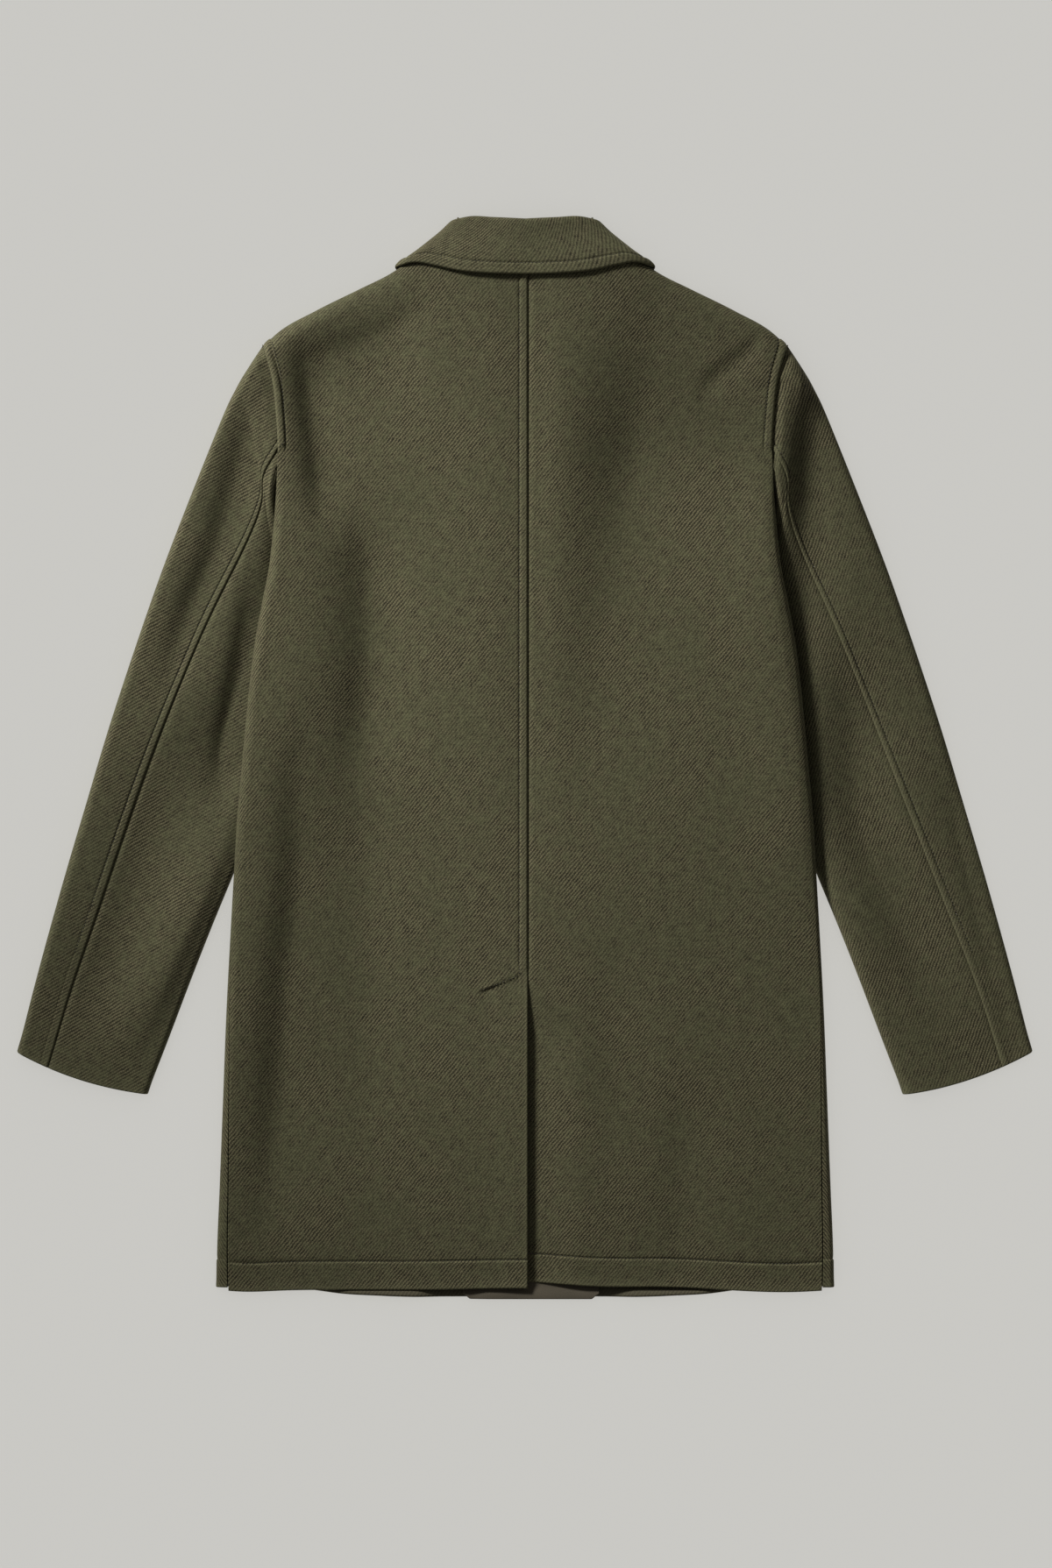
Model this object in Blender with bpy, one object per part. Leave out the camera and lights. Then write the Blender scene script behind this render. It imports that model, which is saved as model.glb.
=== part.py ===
"""Single-breasted wool-twill coat, laid flat with its back upwards.

Metres. +X is to the right of the picture, +Y towards the collar, +Z away from the surface.
The fronts rest on z = 0; the back lies over them with air between, and each sleeve lies beside
the body with its inner edge tucked under the side fold.
"""
import bpy
import bmesh
import numpy as np

# Cloth and seams
WALL = 0.002
GAP = 0.0004
LAP_DROP = 0.0030
STEP = 1e-4

# Centre back, vent and front overlap
CB_X = 0.0023
CB_LAP = 0.010
VENT_LAP = 0.038
VENT_TOP = -0.1906
VENT_SLANT = 0.014
FRONT_EDGE = 0.025
FRONT_LIFT = 0.0028
FRONT_RAMP = 0.022

# Folds of the body
SIDE_ROLL = 0.008
SIDE_RADIUS = 0.009
SHOULDER_ROLL = 0.010
SHOULDER_RADIUS = 0.016
SHOULDER_MID = 0.012
SIDE_THINNING = 0.12

# Body side from shoulder point to hem: armhole seam above, side fold below
SIDE = (  # y, half_width, fold_mid, rolled, lift
    (0.3615, 0.2302, 0.0120, 0.00, 0.0000),
    (0.3300, 0.2218, 0.0130, 0.00, 0.0000),
    (0.3020, 0.2187, 0.0140, 0.00, 0.0010),
    (0.2707, 0.2170, 0.0150, 0.00, 0.0060),
    (0.2400, 0.2178, 0.0152, 0.25, 0.0090),
    (0.2150, 0.2197, 0.0152, 0.75, 0.0092),
    (0.1937, 0.2218, 0.0152, 1.00, 0.0092),
    (0.1675, 0.2248, 0.0152, 1.00, 0.0092),
    (0.1398, 0.2302, 0.0152, 1.00, 0.0092),
    (0.1036, 0.2368, 0.0152, 1.00, 0.0092),
    (0.0651, 0.2418, 0.0152, 1.00, 0.0092),
    (0.0266, 0.2456, 0.0152, 1.00, 0.0092),
    (-0.0119, 0.2491, 0.0152, 1.00, 0.0092),
    (-0.0504, 0.2526, 0.0152, 1.00, 0.0092),
    (-0.0966, 0.2553, 0.0150, 1.00, 0.0090),
    (-0.1467, 0.2583, 0.0128, 1.00, 0.0066),
    (-0.2237, 0.2626, 0.0086, 1.00, 0.0024),
    (-0.3007, 0.2657, 0.0066, 1.00, 0.0004),
    (-0.3777, 0.2687, 0.0062, 1.00, 0.0000),
    (-0.4354, 0.2710, 0.0060, 1.00, 0.0000),
    (-0.4800, 0.2713, 0.0060, 1.00, 0.0000),
)
SHOULDER = (  # half_width, y
    (0.0970, 0.4400), (0.1167, 0.4262), (0.1455, 0.4116), (0.1844, 0.3923), (0.2175, 0.3731), (0.2302, 0.3615),
)
BACK_HEIGHT = (  # y, height
    (-0.4700, 0.0125), (-0.4200, 0.0135), (-0.3000, 0.0165), (-0.1500, 0.0210), (0.0000, 0.0250),
    (0.1200, 0.0275), (0.2500, 0.0290), (0.3300, 0.0275), (0.4000, 0.0245), (0.4400, 0.0215),
)
SIDE_SEAM = (  # y, width of front cloth that shows on the back
    (-0.4800, 0.0105), (-0.4000, 0.0085), (-0.3000, 0.0055), (-0.2000, 0.0022), (-0.1400, 0.0), (0.4000, 0.0),
)
BACK_NECK = ((0.0, 0.4320), (0.050, 0.4335), (0.085, 0.4375))  # half_width, y
FRONT_NECK = ((0.0, 0.372), (0.030, 0.376), (0.060, 0.394), (0.085, 0.424))  # half_width, y
BACK_HEM_LEFT = (  # half_width, y
    (-0.010, -0.4662), (0.000, -0.4662), (0.090, -0.4676), (0.205, -0.4680), (0.250, -0.4692), (0.275, -0.4672),
)
BACK_HEM_RIGHT = (  # half_width, y
    (-0.040, -0.4605), (0.003, -0.4612), (0.064, -0.4647), (0.124, -0.4652), (0.240, -0.4695), (0.275, -0.4676),
)
FRONT_HEM = (  # half_width, y
    (-0.030, -0.4732), (0.120, -0.4732), (0.160, -0.4712), (0.200, -0.4672), (0.275, -0.4655),
)
FOLDS = (  # x_start, y_start, x_end, y_end, half_width, height
    (-0.149, 0.200, -0.146, 0.040, 0.024, -0.0040),
    (-0.224, 0.020, -0.222, -0.380, 0.018, -0.0030),
    (0.085, 0.360, 0.040, 0.080, 0.028, -0.0040),
    (0.165, 0.200, 0.105, 0.080, 0.045, 0.0030),
    (-0.095, 0.370, -0.200, 0.285, 0.020, -0.0030),
    (0.160, 0.360, 0.205, 0.325, 0.016, -0.0020),
)

# Sleeve rings from armhole to cuff: outer fold, elbow seam and inner fold in plan, heights of the
# top layer there, and the share of the width at which the layer has come down to the inner height
SLEEVE = (  # outer_x, outer_y, seam_x, seam_y, inner_x, inner_y, outer_h, seam_h, inner_h, valley
    (0.2302, 0.3615, 0.2170, 0.2707, 0.2080, 0.1780, 0.0240, 0.0225, 0.0080, 0.72),
    (0.2440, 0.3410, 0.2295, 0.2476, 0.2050, 0.1400, 0.0240, 0.0222, 0.0080, 0.66),
    (0.2540, 0.3240, 0.2314, 0.2206, 0.2060, 0.0950, 0.0230, 0.0215, 0.0080, 0.61),
    (0.2680, 0.2940, 0.2437, 0.1860, 0.2120, 0.0480, 0.0220, 0.0208, 0.0080, 0.61),
    (0.3090, 0.1910, 0.2750, 0.1190, 0.2240, -0.0020, 0.0210, 0.0200, 0.0080, 0.67),
    (0.3340, 0.1220, 0.3010, 0.0574, 0.2400, -0.0600, 0.0200, 0.0190, 0.0082, 0.78),
    (0.3640, 0.0320, 0.3280, -0.0120, 0.2560, -0.1010, 0.0190, 0.0180, 0.0086, 0.93),
    (0.3856, -0.0397, 0.3510, -0.0735, 0.2749, -0.1470, 0.0180, 0.0170, 0.0105, 1.00),
    (0.4064, -0.1100, 0.3735, -0.1350, 0.2938, -0.1950, 0.0170, 0.0160, 0.0110, 1.00),
    (0.4284, -0.1893, 0.3989, -0.2044, 0.3139, -0.2480, 0.0155, 0.0150, 0.0110, 1.00),
    (0.4463, -0.2590, 0.4197, -0.2722, 0.3326, -0.2960, 0.0140, 0.0140, 0.0110, 1.00),
)
ARMHOLE_LAP = 0.009
ELBOW_LAP = 0.009
ELBOW_SKEW = 0.006
FOREARM_SEAM = 0.86
SLEEVE_ROUND = 0.6

# Collar: leaf from the roll line to its edge, stand from the roll line to the neck seam
LEAF_WIDTH = (  # share from roll to edge, half_width of the side fold
    (0.0, 0.0640), (0.243, 0.0743), (0.459, 0.0855), (0.677, 0.0974), (0.892, 0.1105), (1.0, 0.1147),
)
ROLL_LINE = ((0.0, 0.4732), (0.030, 0.4748), (0.050, 0.4758), (0.064, 0.4735))  # half_width, y
LEAF_EDGE = (  # half_width, y
    (0.0, 0.4236), (0.030, 0.4243), (0.058, 0.4268), (0.080, 0.4315), (0.096, 0.4343), (0.1147, 0.4308),
)
LEAF_LENGTH = 0.048
LEAF_LIFT = 0.0048
ROLL_TOP = 0.0200
ROLL_RADIUS = 0.0035
ROLL_TURN = 0.006
COLLAR_ROLL = 0.008
COLLAR_RADIUS = 0.009
COLLAR_CLEAR = 0.0034
ROLL_FRONT_DROP = 0.0885
EDGE_FRONT_DROP = 0.106
ROLL_FRONT_END = 0.008
EDGE_FRONT_END = 0.048
STAND_NECK = 0.0955

# Facing that shows under the back hem
FACING_LEFT = -0.055
FACING_RIGHT = 0.065
FACING_HEM = -0.4758
FACING_TOP = -0.430
FACING_BASE = 0.0053

CLOTH = (0.088, 0.080, 0.048, 1.0)
COLLAR_CLOTH = (0.095, 0.087, 0.053, 1.0)
FACING_CLOTH = (0.050, 0.043, 0.028, 1.0)
SIDES = (("left", -1.0), ("right", 1.0))


def smooth(t):
    t = np.clip(t, 0.0, 1.0)
    return t * t * (3.0 - 2.0 * t)


def mix(a, b, t):
    return a + (b - a) * t


def track(rows, place):
    """Smooth curve through a table whose first column is the place; straight beyond its ends."""
    table = np.array(sorted(rows))
    keys = table[:, 0]
    values = table[:, 1:]
    slopes = np.gradient(values, keys, axis=0)
    place = np.asarray(place, float)
    inside = np.clip(place, keys[0], keys[-1])
    i = np.clip(np.searchsorted(keys, inside) - 1, 0, len(keys) - 2)
    span = (keys[i + 1] - keys[i])[..., None]
    t = (inside - keys[i])[..., None] / span
    t2 = t * t
    t3 = t2 * t
    out = (2 * t3 - 3 * t2 + 1) * values[i] + (t3 - 2 * t2 + t) * span * slopes[i]
    out = out + (3 * t2 - 2 * t3) * values[i + 1] + (t3 - t2) * span * slopes[i + 1]
    out = out + (place - inside)[..., None] * np.where((place > inside)[..., None], slopes[-1], slopes[0])
    return [out[..., k] for k in range(out.shape[-1])]


def folded(reach, roll):
    """Plan distance from a fold for cloth that reaches this far along the surface from its extreme."""
    roll = np.maximum(roll, 1e-6)
    reach = np.abs(reach)
    return np.where(reach < 2.0 * roll, reach * reach / (4.0 * roll), reach - roll)


def cap(distance, radius):
    """Height share of a rounded edge, 0 at its extreme and 1 past the radius."""
    t = 1.0 - np.clip(distance / radius, 0.0, 1.0)
    return np.sqrt(np.maximum(1.0 - t * t, 0.0))


def fold_field(x, y):
    """Soft troughs and ridges of the back, as height."""
    total = np.zeros(np.broadcast(x, y).shape)
    for x0, y0, x1, y1, half, height in FOLDS:
        length = np.hypot(x1 - x0, y1 - y0)
        ux = (x1 - x0) / length
        uy = (y1 - y0) / length
        along = ((x - x0) * ux + (y - y0) * uy) / length
        across = (x - x0) * uy - (y - y0) * ux
        taper = smooth((along + 0.25) / 0.45) * smooth((1.25 - along) / 0.45)
        total = total + height * taper * np.exp(-(across / half) ** 2)
    return total


def side_rows(y):
    half, mid, rolled, lift = track(SIDE, y)
    return half, mid, np.clip(rolled, 0.0, 1.0), np.maximum(lift, 0.0)


def collar_lift(a, y):
    line = 0.325 + 1.55 * np.maximum(a - EDGE_FRONT_END, 0.0)
    return COLLAR_CLEAR * smooth((y - line + 0.080) / 0.050)


def sleeve_lift(a, half, lift):
    return lift * smooth((a - (half - 0.105)) / 0.070)


def body_point(across, along, face, side):
    """Body cloth from flat to folded: across from the middle, along the length, on one face."""
    a = np.abs(across)
    sign = np.where(across >= 0.0, 1.0, -1.0)
    crest = track(SHOULDER, a)[0]
    reach_top = crest + SHOULDER_ROLL - along
    drop = folded(reach_top, SHOULDER_ROLL)
    y = crest - drop
    half, mid, rolled, lift = side_rows(y)
    reach_side = half + SIDE_ROLL * rolled - a
    seamed = rolled < 0.02
    inset = np.where(seamed, reach_side, folded(reach_side, SIDE_ROLL * rolled))
    x = half - inset
    face = face * np.where((reach_side < 0.0) & ~seamed, -1.0, 1.0) * np.where(reach_top < 0.0, -1.0, 1.0)
    round_side = 1.0 - rolled * (1.0 - cap(inset, SIDE_RADIUS))
    round_all = round_side * cap(drop, SHOULDER_RADIUS)
    middle = mix(SHOULDER_MID, mid, smooth(drop / 0.05))
    height = track(BACK_HEIGHT, y)[0] * (1.0 - SIDE_THINNING * (x / half) ** 2)
    height = height + fold_field(x * sign * side, y)
    top = middle + (height - middle) * round_all
    low = sleeve_lift(x, half, lift) + collar_lift(x, y)
    bottom = middle - (middle - low) * round_all
    return np.stack([x * sign * side, y, np.where(face > 0.0, top, bottom)], axis=-1)


def back_height(x, y):
    """Height of the back's outer surface over a plan point away from the side folds."""
    a = np.abs(x)
    crest = track(SHOULDER, a)[0]
    half, mid, rolled, lift = side_rows(y)
    drop = np.maximum(crest - y, 0.0)
    inset = np.maximum(half - a, 0.0)
    middle = mix(SHOULDER_MID, mid, smooth(drop / 0.05))
    height = track(BACK_HEIGHT, y)[0] * (1.0 - SIDE_THINNING * (a / half) ** 2) + fold_field(x, y)
    round_all = (1.0 - rolled * (1.0 - cap(inset, SIDE_RADIUS))) * cap(drop, SHOULDER_RADIUS)
    return middle + (height - middle) * round_all


def patch(u, v, top, bottom, inner, outer):
    """Sheet between four edge curves in the flat."""
    left = inner(v)
    right = outer(v)
    high = top(u)
    low = bottom(u)
    zero = np.zeros_like(u)
    one = np.ones_like(u)
    c00, c10, c01, c11 = top(zero), top(one), bottom(zero), bottom(one)
    out = []
    for k in range(2):
        ruled = mix(high[k], low[k], v) + mix(left[k], right[k], u)
        corner = mix(mix(c00[k], c10[k], u), mix(c01[k], c11[k], u), v)
        out.append(ruled - corner)
    return out


def outer_edge(y, sign):
    """Side edge in the flat: the back stops short of the seam and the front runs on to it."""
    y = np.minimum(y, SHOULDER[-1][1])
    half, mid, rolled, lift = side_rows(y)
    strip = np.maximum(track(SIDE_SEAM, y)[0], 0.0)
    turn = np.where(strip < SIDE_ROLL, 2.0 * np.sqrt(SIDE_ROLL * strip), strip + SIDE_ROLL)
    return half + SIDE_ROLL * rolled - sign * turn - GAP


def body_patch(u, v, neck, hem, inner_x, face):
    corner_y = np.array(SHOULDER[-1][1])
    for _ in range(6):
        corner = outer_edge(corner_y, face)
        corner_y = track(SHOULDER, corner)[0] + SHOULDER_ROLL - 2.0 * GAP
    neck_x = SHOULDER[0][0]

    def top(s):
        first = inner_x(np.array(0.43))
        x = mix(first, corner, s)
        crest = track(SHOULDER, np.maximum(x, neck_x))[0] + SHOULDER_ROLL - 2.0 * GAP
        opening = track(neck, np.abs(x))[0]
        edge = neck[-1][0]
        return x, np.where(x > neck_x, crest, mix(opening, crest, smooth((x - edge) / (neck_x - edge))))

    def bottom(s):
        y_side = track(hem, 0.27)[0]
        x = mix(inner_x(np.array(-0.46)), outer_edge(y_side, face), s)
        return x, track(hem, np.minimum(x, 0.272))[0]

    def inner(t):
        y_top = top(np.array(0.0))[1]
        y_low = bottom(np.array(0.0))[1]
        y = mix(y_top, y_low, t)
        return inner_x(y), y

    def outer(t):
        y_top = top(np.array(1.0))[1]
        y_low = bottom(np.array(1.0))[1]
        y = mix(y_top, y_low, t)
        return outer_edge(y, face), y

    return patch(u, v, top, bottom, inner, outer)


def back_left(u, v):
    across, along = body_patch(u, v, BACK_NECK, BACK_HEM_LEFT, lambda y: np.zeros_like(y) - CB_X, 1.0)
    return body_point(across, along, 1.0, -1.0)


def back_right(u, v):
    """Columns below zero are the lap under the left back: seam allowance above, vent underlap below."""
    seam = CB_X + GAP
    across, along = body_patch(np.maximum(u, 0.0), v, BACK_NECK, BACK_HEM_RIGHT,
                               lambda y: np.zeros_like(y) + seam, 1.0)
    vent = smooth((VENT_TOP - along) / VENT_SLANT)
    across = across + np.minimum(u, 0.0) * mix(CB_LAP, VENT_LAP, vent)
    point = body_point(across, along, 1.0, 1.0)
    point[..., 2] -= LAP_DROP * (1.0 - smooth((across - seam) / 0.014))
    return point


def front_left(u, v):
    across, along = body_patch(u, v, FRONT_NECK, FRONT_HEM, lambda y: np.zeros_like(y) - FRONT_EDGE, -1.0)
    return body_point(across, along, -1.0, -1.0)


def front_right(u, v):
    across, along = body_patch(u, v, FRONT_NECK, FRONT_HEM, lambda y: np.zeros_like(y) - FRONT_EDGE, -1.0)
    point = body_point(across, along, -1.0, 1.0)
    point[..., 2] += FRONT_LIFT * (1.0 - smooth((across - FRONT_EDGE - 0.010) / FRONT_RAMP))
    return point


def front_low(x, y):
    """Height of the fronts' outer surface over a plan point, away from the side folds."""
    a = np.abs(x)
    half, mid, rolled, lift = side_rows(y)
    crest = track(SHOULDER, a)[0]
    drop = np.maximum(crest - y, 0.0)
    middle = mix(SHOULDER_MID, mid, smooth(drop / 0.05))
    low = sleeve_lift(a, half, lift) + collar_lift(a, y)
    over = FRONT_LIFT * (1.0 - smooth((x - FRONT_EDGE - 0.010) / FRONT_RAMP)) * (x > -FRONT_EDGE)
    return middle - (middle - low) * cap(drop, SHOULDER_RADIUS) + over * (x > 0.0)


def sleeve_rows(place):
    return track([(float(k),) + row for k, row in enumerate(SLEEVE)], place)


def sleeve_seam(ring, side):
    """Share of the width at which the elbow seam lies, and the width, on one ring."""
    place = np.maximum(ring, 0.0)
    ox, oy, sx, sy, ix, iy = sleeve_rows(place)[:6]
    reach = np.hypot(ox - sx, oy - sy)
    width = reach + np.hypot(sx - ix, sy - iy)
    skew = ELBOW_SKEW * np.sin(np.pi * place / (len(SLEEVE) - 1.0)) ** 2
    return (reach + side * skew) / width, width


def sleeve_plan(share, place):
    """Plan point of a ring at a share of its width, bent through the elbow seam."""
    ox, oy, sx, sy, ix, iy = sleeve_rows(place)[:6]
    reach = np.hypot(ox - sx, oy - sy)
    width = reach + np.hypot(sx - ix, sy - iy)
    bend = reach / width
    at_outer = (share - bend) * (share - 1.0) / bend
    at_seam = share * (share - 1.0) / (bend * (bend - 1.0))
    at_inner = share * (share - bend) / (1.0 - bend)
    return at_outer * ox + at_seam * sx + at_inner * ix, at_outer * oy + at_seam * sy + at_inner * iy, width


def sleeve_point(angle, ring, side, under):
    """Sleeve cloth: angle runs from the outer fold (0) over the top to the inner fold (pi)."""
    share = 0.5 * (1.0 - np.cos(angle))
    top = np.sin(angle) >= 0.0
    lap = smooth((share - 0.06) / 0.14) * (1.0 - smooth((share - 0.50) / 0.08)) * top
    butt = np.where(ring < 3.0, 0.75 * (ring + 1.0), ring)
    place = mix(butt, np.maximum(ring, 0.0), lap)
    outer_h, seam_h, inner_h, valley = sleeve_rows(place)[6:]
    x, y, width = sleeve_plan(share, place)
    seam = sleeve_seam(ring, side)[0]
    hole_x, hole_y = sleeve_plan(share, np.zeros_like(place))[:2]
    fit = side_rows(hole_y)[0] + 3.0 * GAP * (1.0 - lap) - hole_x
    x = x + fit * (1.0 - smooth(place)) * (1.0 - smooth((share - 0.70) / 0.25))
    x = x + ARMHOLE_LAP * lap * np.minimum(ring, 0.0)
    height = np.where(share < seam, mix(outer_h, seam_h, smooth(share / seam)),
                      mix(seam_h, inner_h, smooth((share - seam) / np.maximum(valley - seam, 0.05))))
    tucked = back_height(side * x, y) - LAP_DROP
    tuck = top * (1.0 - smooth((share - 0.56) / 0.10)) * (1.0 - smooth(ring / 0.5))
    height = mix(height, tucked, tuck)
    if under:
        height = height - LAP_DROP * (1.0 - smooth((share - seam) * width / 0.014))
    end_h = np.where(share < 0.5, outer_h, inner_h)
    rounded = cap(width * np.minimum(share, 1.0 - share), SLEEVE_ROUND * end_h)
    mid = 0.5 * end_h
    z = np.where(top, mid + (height - mid) * rounded, mid * (1.0 - rounded))
    return np.stack([side * x, y, z], axis=-1)


def sleeve_surface(side, under):
    last = 2.0 * np.pi - np.arccos(1.0 - 2.0 * FOREARM_SEAM)

    def surface(u, v):
        seam, width = sleeve_seam(v, side)
        if under:
            start = np.arccos(1.0 - 2.0 * (seam - ELBOW_LAP / width))
            edge = np.arccos(1.0 - 2.0 * (seam + GAP / width))
            angle = np.where(u < 0.0, edge + u * (edge - start),
                             np.where(u < 1.0, mix(edge, np.pi, u), mix(np.pi, last - 0.006, u - 1.0)))
        else:
            edge = np.arccos(1.0 - 2.0 * seam)
            angle = np.where(u < 1.0, mix(edge, 0.0, u), mix(0.0, last - 2.0 * np.pi, u - 1.0))
        return sleeve_point(angle, v, side, under)
    return surface


def collar_ring(s, share, inset, top_z, low_z, width, back_y, front_y, end_x):
    """Flattened neck ring: s runs from one front end (-2) over the back (0) to the other (2)."""
    side = np.where(s < 0.0, -1.0, 1.0)
    c = 1.0 - np.abs(s)
    wide = width - inset
    reach = np.where(c > 0.0, c * (wide + COLLAR_ROLL), c * (wide - end_x + COLLAR_ROLL))
    distance = folded(reach, COLLAR_ROLL)
    x = wide - distance
    rounded = cap(distance, COLLAR_RADIUS)
    j = distance / (wide - end_x)
    y = np.where(c > 0.0, back_y(share, x / wide), front_y(share, j, x))
    high = top_z(share, side * x, y) - inset
    low = low_z(share, side * x, y) + inset
    middle = mix(0.0100, 0.0125, share)
    z = np.where(c > 0.0, middle + (high - middle) * rounded, middle - (middle - low) * rounded)
    return np.stack([side * x, y, z], axis=-1)


def leaf_back_y(share, k):
    roll = track(ROLL_LINE, k * ROLL_LINE[-1][0])[0]
    return mix(roll, track(LEAF_EDGE, k * LEAF_EDGE[-1][0])[0], share)


def leaf_front_y(share, j, x):
    return mix(ROLL_LINE[-1][1] - ROLL_FRONT_DROP * j, LEAF_EDGE[-1][1] - EDGE_FRONT_DROP * j, share)


def leaf_top(share, x, y):
    return mix(ROLL_TOP, back_height(x, np.minimum(y, 0.430)) + LEAF_LIFT, smooth(share))


def leaf_low(share, x, y):
    return np.zeros_like(x)


def leaf_surface(s, reach):
    """Reach is measured along the leaf from the roll line; below zero it has turned under."""
    distance = folded(reach, ROLL_RADIUS)
    share = distance / (LEAF_LENGTH - ROLL_RADIUS)
    turn = cap(distance, ROLL_RADIUS * 1.15) * np.where(reach < 0.0, -1.0, 1.0)
    inset = ROLL_RADIUS * (1.0 - turn)
    width = track(LEAF_WIDTH, share)[0]
    end = mix(ROLL_FRONT_END, EDGE_FRONT_END, share)
    return collar_ring(s, share, inset, leaf_top, leaf_low, width, leaf_back_y, leaf_front_y, end)


def stand_surface(s, share):
    """Share runs from the turned-under roll (0) down to the neck seam (1)."""
    start = (ROLL_TURN - ROLL_RADIUS + 2.0 * GAP) / LEAF_LENGTH
    width = mix(track(LEAF_WIDTH, start)[0] - 2.0 * ROLL_RADIUS, STAND_NECK, share)
    neck_back = BACK_NECK + ((STAND_NECK, 0.4405),)
    neck_front = FRONT_NECK + ((STAND_NECK, 0.4405),)

    def back_y(p, k):
        seam = track(neck_back, k * STAND_NECK)[0] + 3.0 * GAP
        return mix(leaf_back_y(start, k), seam, p)

    def front_y(p, j, x):
        seam = track(neck_front, x)[0] + 5.0 * GAP
        return mix(leaf_front_y(start, j, x) - 0.004 * j, seam, p)

    def top_z(p, x, y):
        return mix(ROLL_TOP - 2.0 * ROLL_RADIUS, back_height(x, np.minimum(y, 0.4375)), p)

    def low_z(p, x, y):
        return mix(2.0 * ROLL_RADIUS, front_low(x, np.minimum(y, 0.4375)), p)

    return collar_ring(s, share, np.zeros_like(s), top_z, low_z, width, back_y, front_y, ROLL_FRONT_END)


def facing(u, v):
    x = mix(FACING_LEFT, FACING_RIGHT, u)
    corner = 0.004 * (smooth((0.06 - u) / 0.06) + smooth((u - 0.94) / 0.06))
    y = mix(FACING_HEM + corner, FACING_TOP, v)
    z = FACING_BASE - 0.0022 * (1.0 - smooth((x + 0.050) / 0.020))
    return np.stack([x, y, z + np.zeros_like(y)], axis=-1)


def wall(name, surface, cols, rows, colour, outward, thick=WALL):
    """Closed cloth wall: a grid on the inner face, extruded out to the outer face."""
    nu = len(cols) - 1
    nv = len(rows) - 1
    u, v = np.meshgrid(np.array(cols, float), np.array(rows, float))
    outer = surface(u, v)
    du = surface(u + STEP, v) - surface(u - STEP, v)
    dv = surface(u, v + STEP) - surface(u, v - STEP)
    normal = np.cross(du, dv)
    normal = outward * normal / np.linalg.norm(normal, axis=-1, keepdims=True)
    inner = outer - thick * normal
    bm = bmesh.new()
    bmesh.ops.create_grid(bm, x_segments=nu, y_segments=nv, size=1.0)
    slot = bm.verts.layers.int.new("slot")
    for vert in bm.verts:
        i = round((vert.co.x + 1.0) * 0.5 * nu)
        j = round((vert.co.y + 1.0) * 0.5 * nv)
        vert[slot] = j * (nu + 1) + i
        vert.co = inner[j, i]
    raised = bmesh.ops.extrude_face_region(bm, geom=bm.faces[:], use_keep_orig=True)
    flat_outer = outer.reshape(-1, 3)
    for item in raised["geom"]:
        if isinstance(item, bmesh.types.BMVert):
            item.co = flat_outer[item[slot]]
    bm.verts.layers.int.remove(slot)
    bmesh.ops.recalc_face_normals(bm, faces=bm.faces[:])
    mesh = bpy.data.meshes.new(name)
    bm.to_mesh(mesh)
    bm.free()
    material = bpy.data.materials.new(name + "_cloth")
    material.use_nodes = True
    shader = material.node_tree.nodes["Principled BSDF"]
    shader.inputs["Base Color"].default_value = colour
    shader.inputs["Roughness"].default_value = 0.9
    mesh.materials.append(material)
    bpy.context.scene.collection.objects.link(bpy.data.objects.new(name, mesh))


def spaced(*runs):
    """Stations along a surface from runs of (start, stop, count, power); power draws them to an end."""
    out = []
    for start, stop, count, power in runs:
        t = np.linspace(0.0, 1.0, count + 1)
        t = t ** power if power > 0.0 else 1.0 - (1.0 - t) ** -power
        out.extend(mix(start, stop, t)[:-1])
    return out + [runs[-1][1]]


for item in list(bpy.data.objects):
    bpy.data.objects.remove(item, do_unlink=True)

BODY_COLS = spaced((0.0, 0.86, 8, 1.0), (0.86, 1.0, 5, 1.0))
LAP_COLS = [-1.0, -0.5]
BODY_ROWS = spaced((0.0, 0.06, 5, 1.0), (0.06, 0.24, 6, 1.0), (0.24, 1.0, 15, 1.0))
wall("back_left", back_left, BODY_COLS, BODY_ROWS, CLOTH, 1.0)
wall("back_right", back_right, LAP_COLS + BODY_COLS, BODY_ROWS, CLOTH, -1.0)
FRONT_COLS = spaced((0.0, 0.42, 5, 1.0), (0.42, 0.86, 4, 1.0), (0.86, 1.0, 5, 1.0))
wall("front_left", front_left, FRONT_COLS, BODY_ROWS, CLOTH, -1.0)
wall("front_right", front_right, FRONT_COLS, BODY_ROWS, CLOTH, 1.0)
RINGS = spaced((0.0, 10.0, 20, 1.0))
LAPPED_RINGS = [-1.0, -0.4] + RINGS
TOP_COLS = spaced((0.0, 1.0, 6, 1.0), (1.0, 1.3, 3, 1.0), (1.3, 2.0, 4, 1.0))
UNDER_COLS = [-1.0, -0.4] + spaced((0.0, 0.7, 7, 1.0), (0.7, 1.0, 3, 1.0), (1.0, 2.0, 3, 1.0))
for word, hand in SIDES:
    wall("sleeve_top_" + word, sleeve_surface(hand, False), TOP_COLS, LAPPED_RINGS, CLOTH, -hand)
    wall("sleeve_under_" + word, sleeve_surface(hand, True), UNDER_COLS, LAPPED_RINGS, CLOTH, hand)
HALF_RING = spaced((0.0, 0.8, 7, 1.0), (0.8, 1.25, 5, 1.0), (1.25, 2.0, 4, 1.0))
RING = [-s for s in reversed(HALF_RING[1:])] + HALF_RING
LEAF_ROWS = spaced((-ROLL_TURN, ROLL_TURN, 5, 1.0), (ROLL_TURN, LEAF_LENGTH, 4, 1.0))
wall("collar_leaf", leaf_surface, RING, LEAF_ROWS, COLLAR_CLOTH, -1.0)
wall("collar_stand", stand_surface, RING, spaced((0.0, 1.0, 3, 1.0)), COLLAR_CLOTH, -1.0, 0.0016)
wall("front_facing", facing, spaced((0.0, 0.06, 2, 1.0), (0.06, 0.94, 6, 1.0), (0.94, 1.0, 2, 1.0)),
     spaced((0.0, 1.0, 2, 1.0)), FACING_CLOTH, -1.0, 0.0015)
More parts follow.
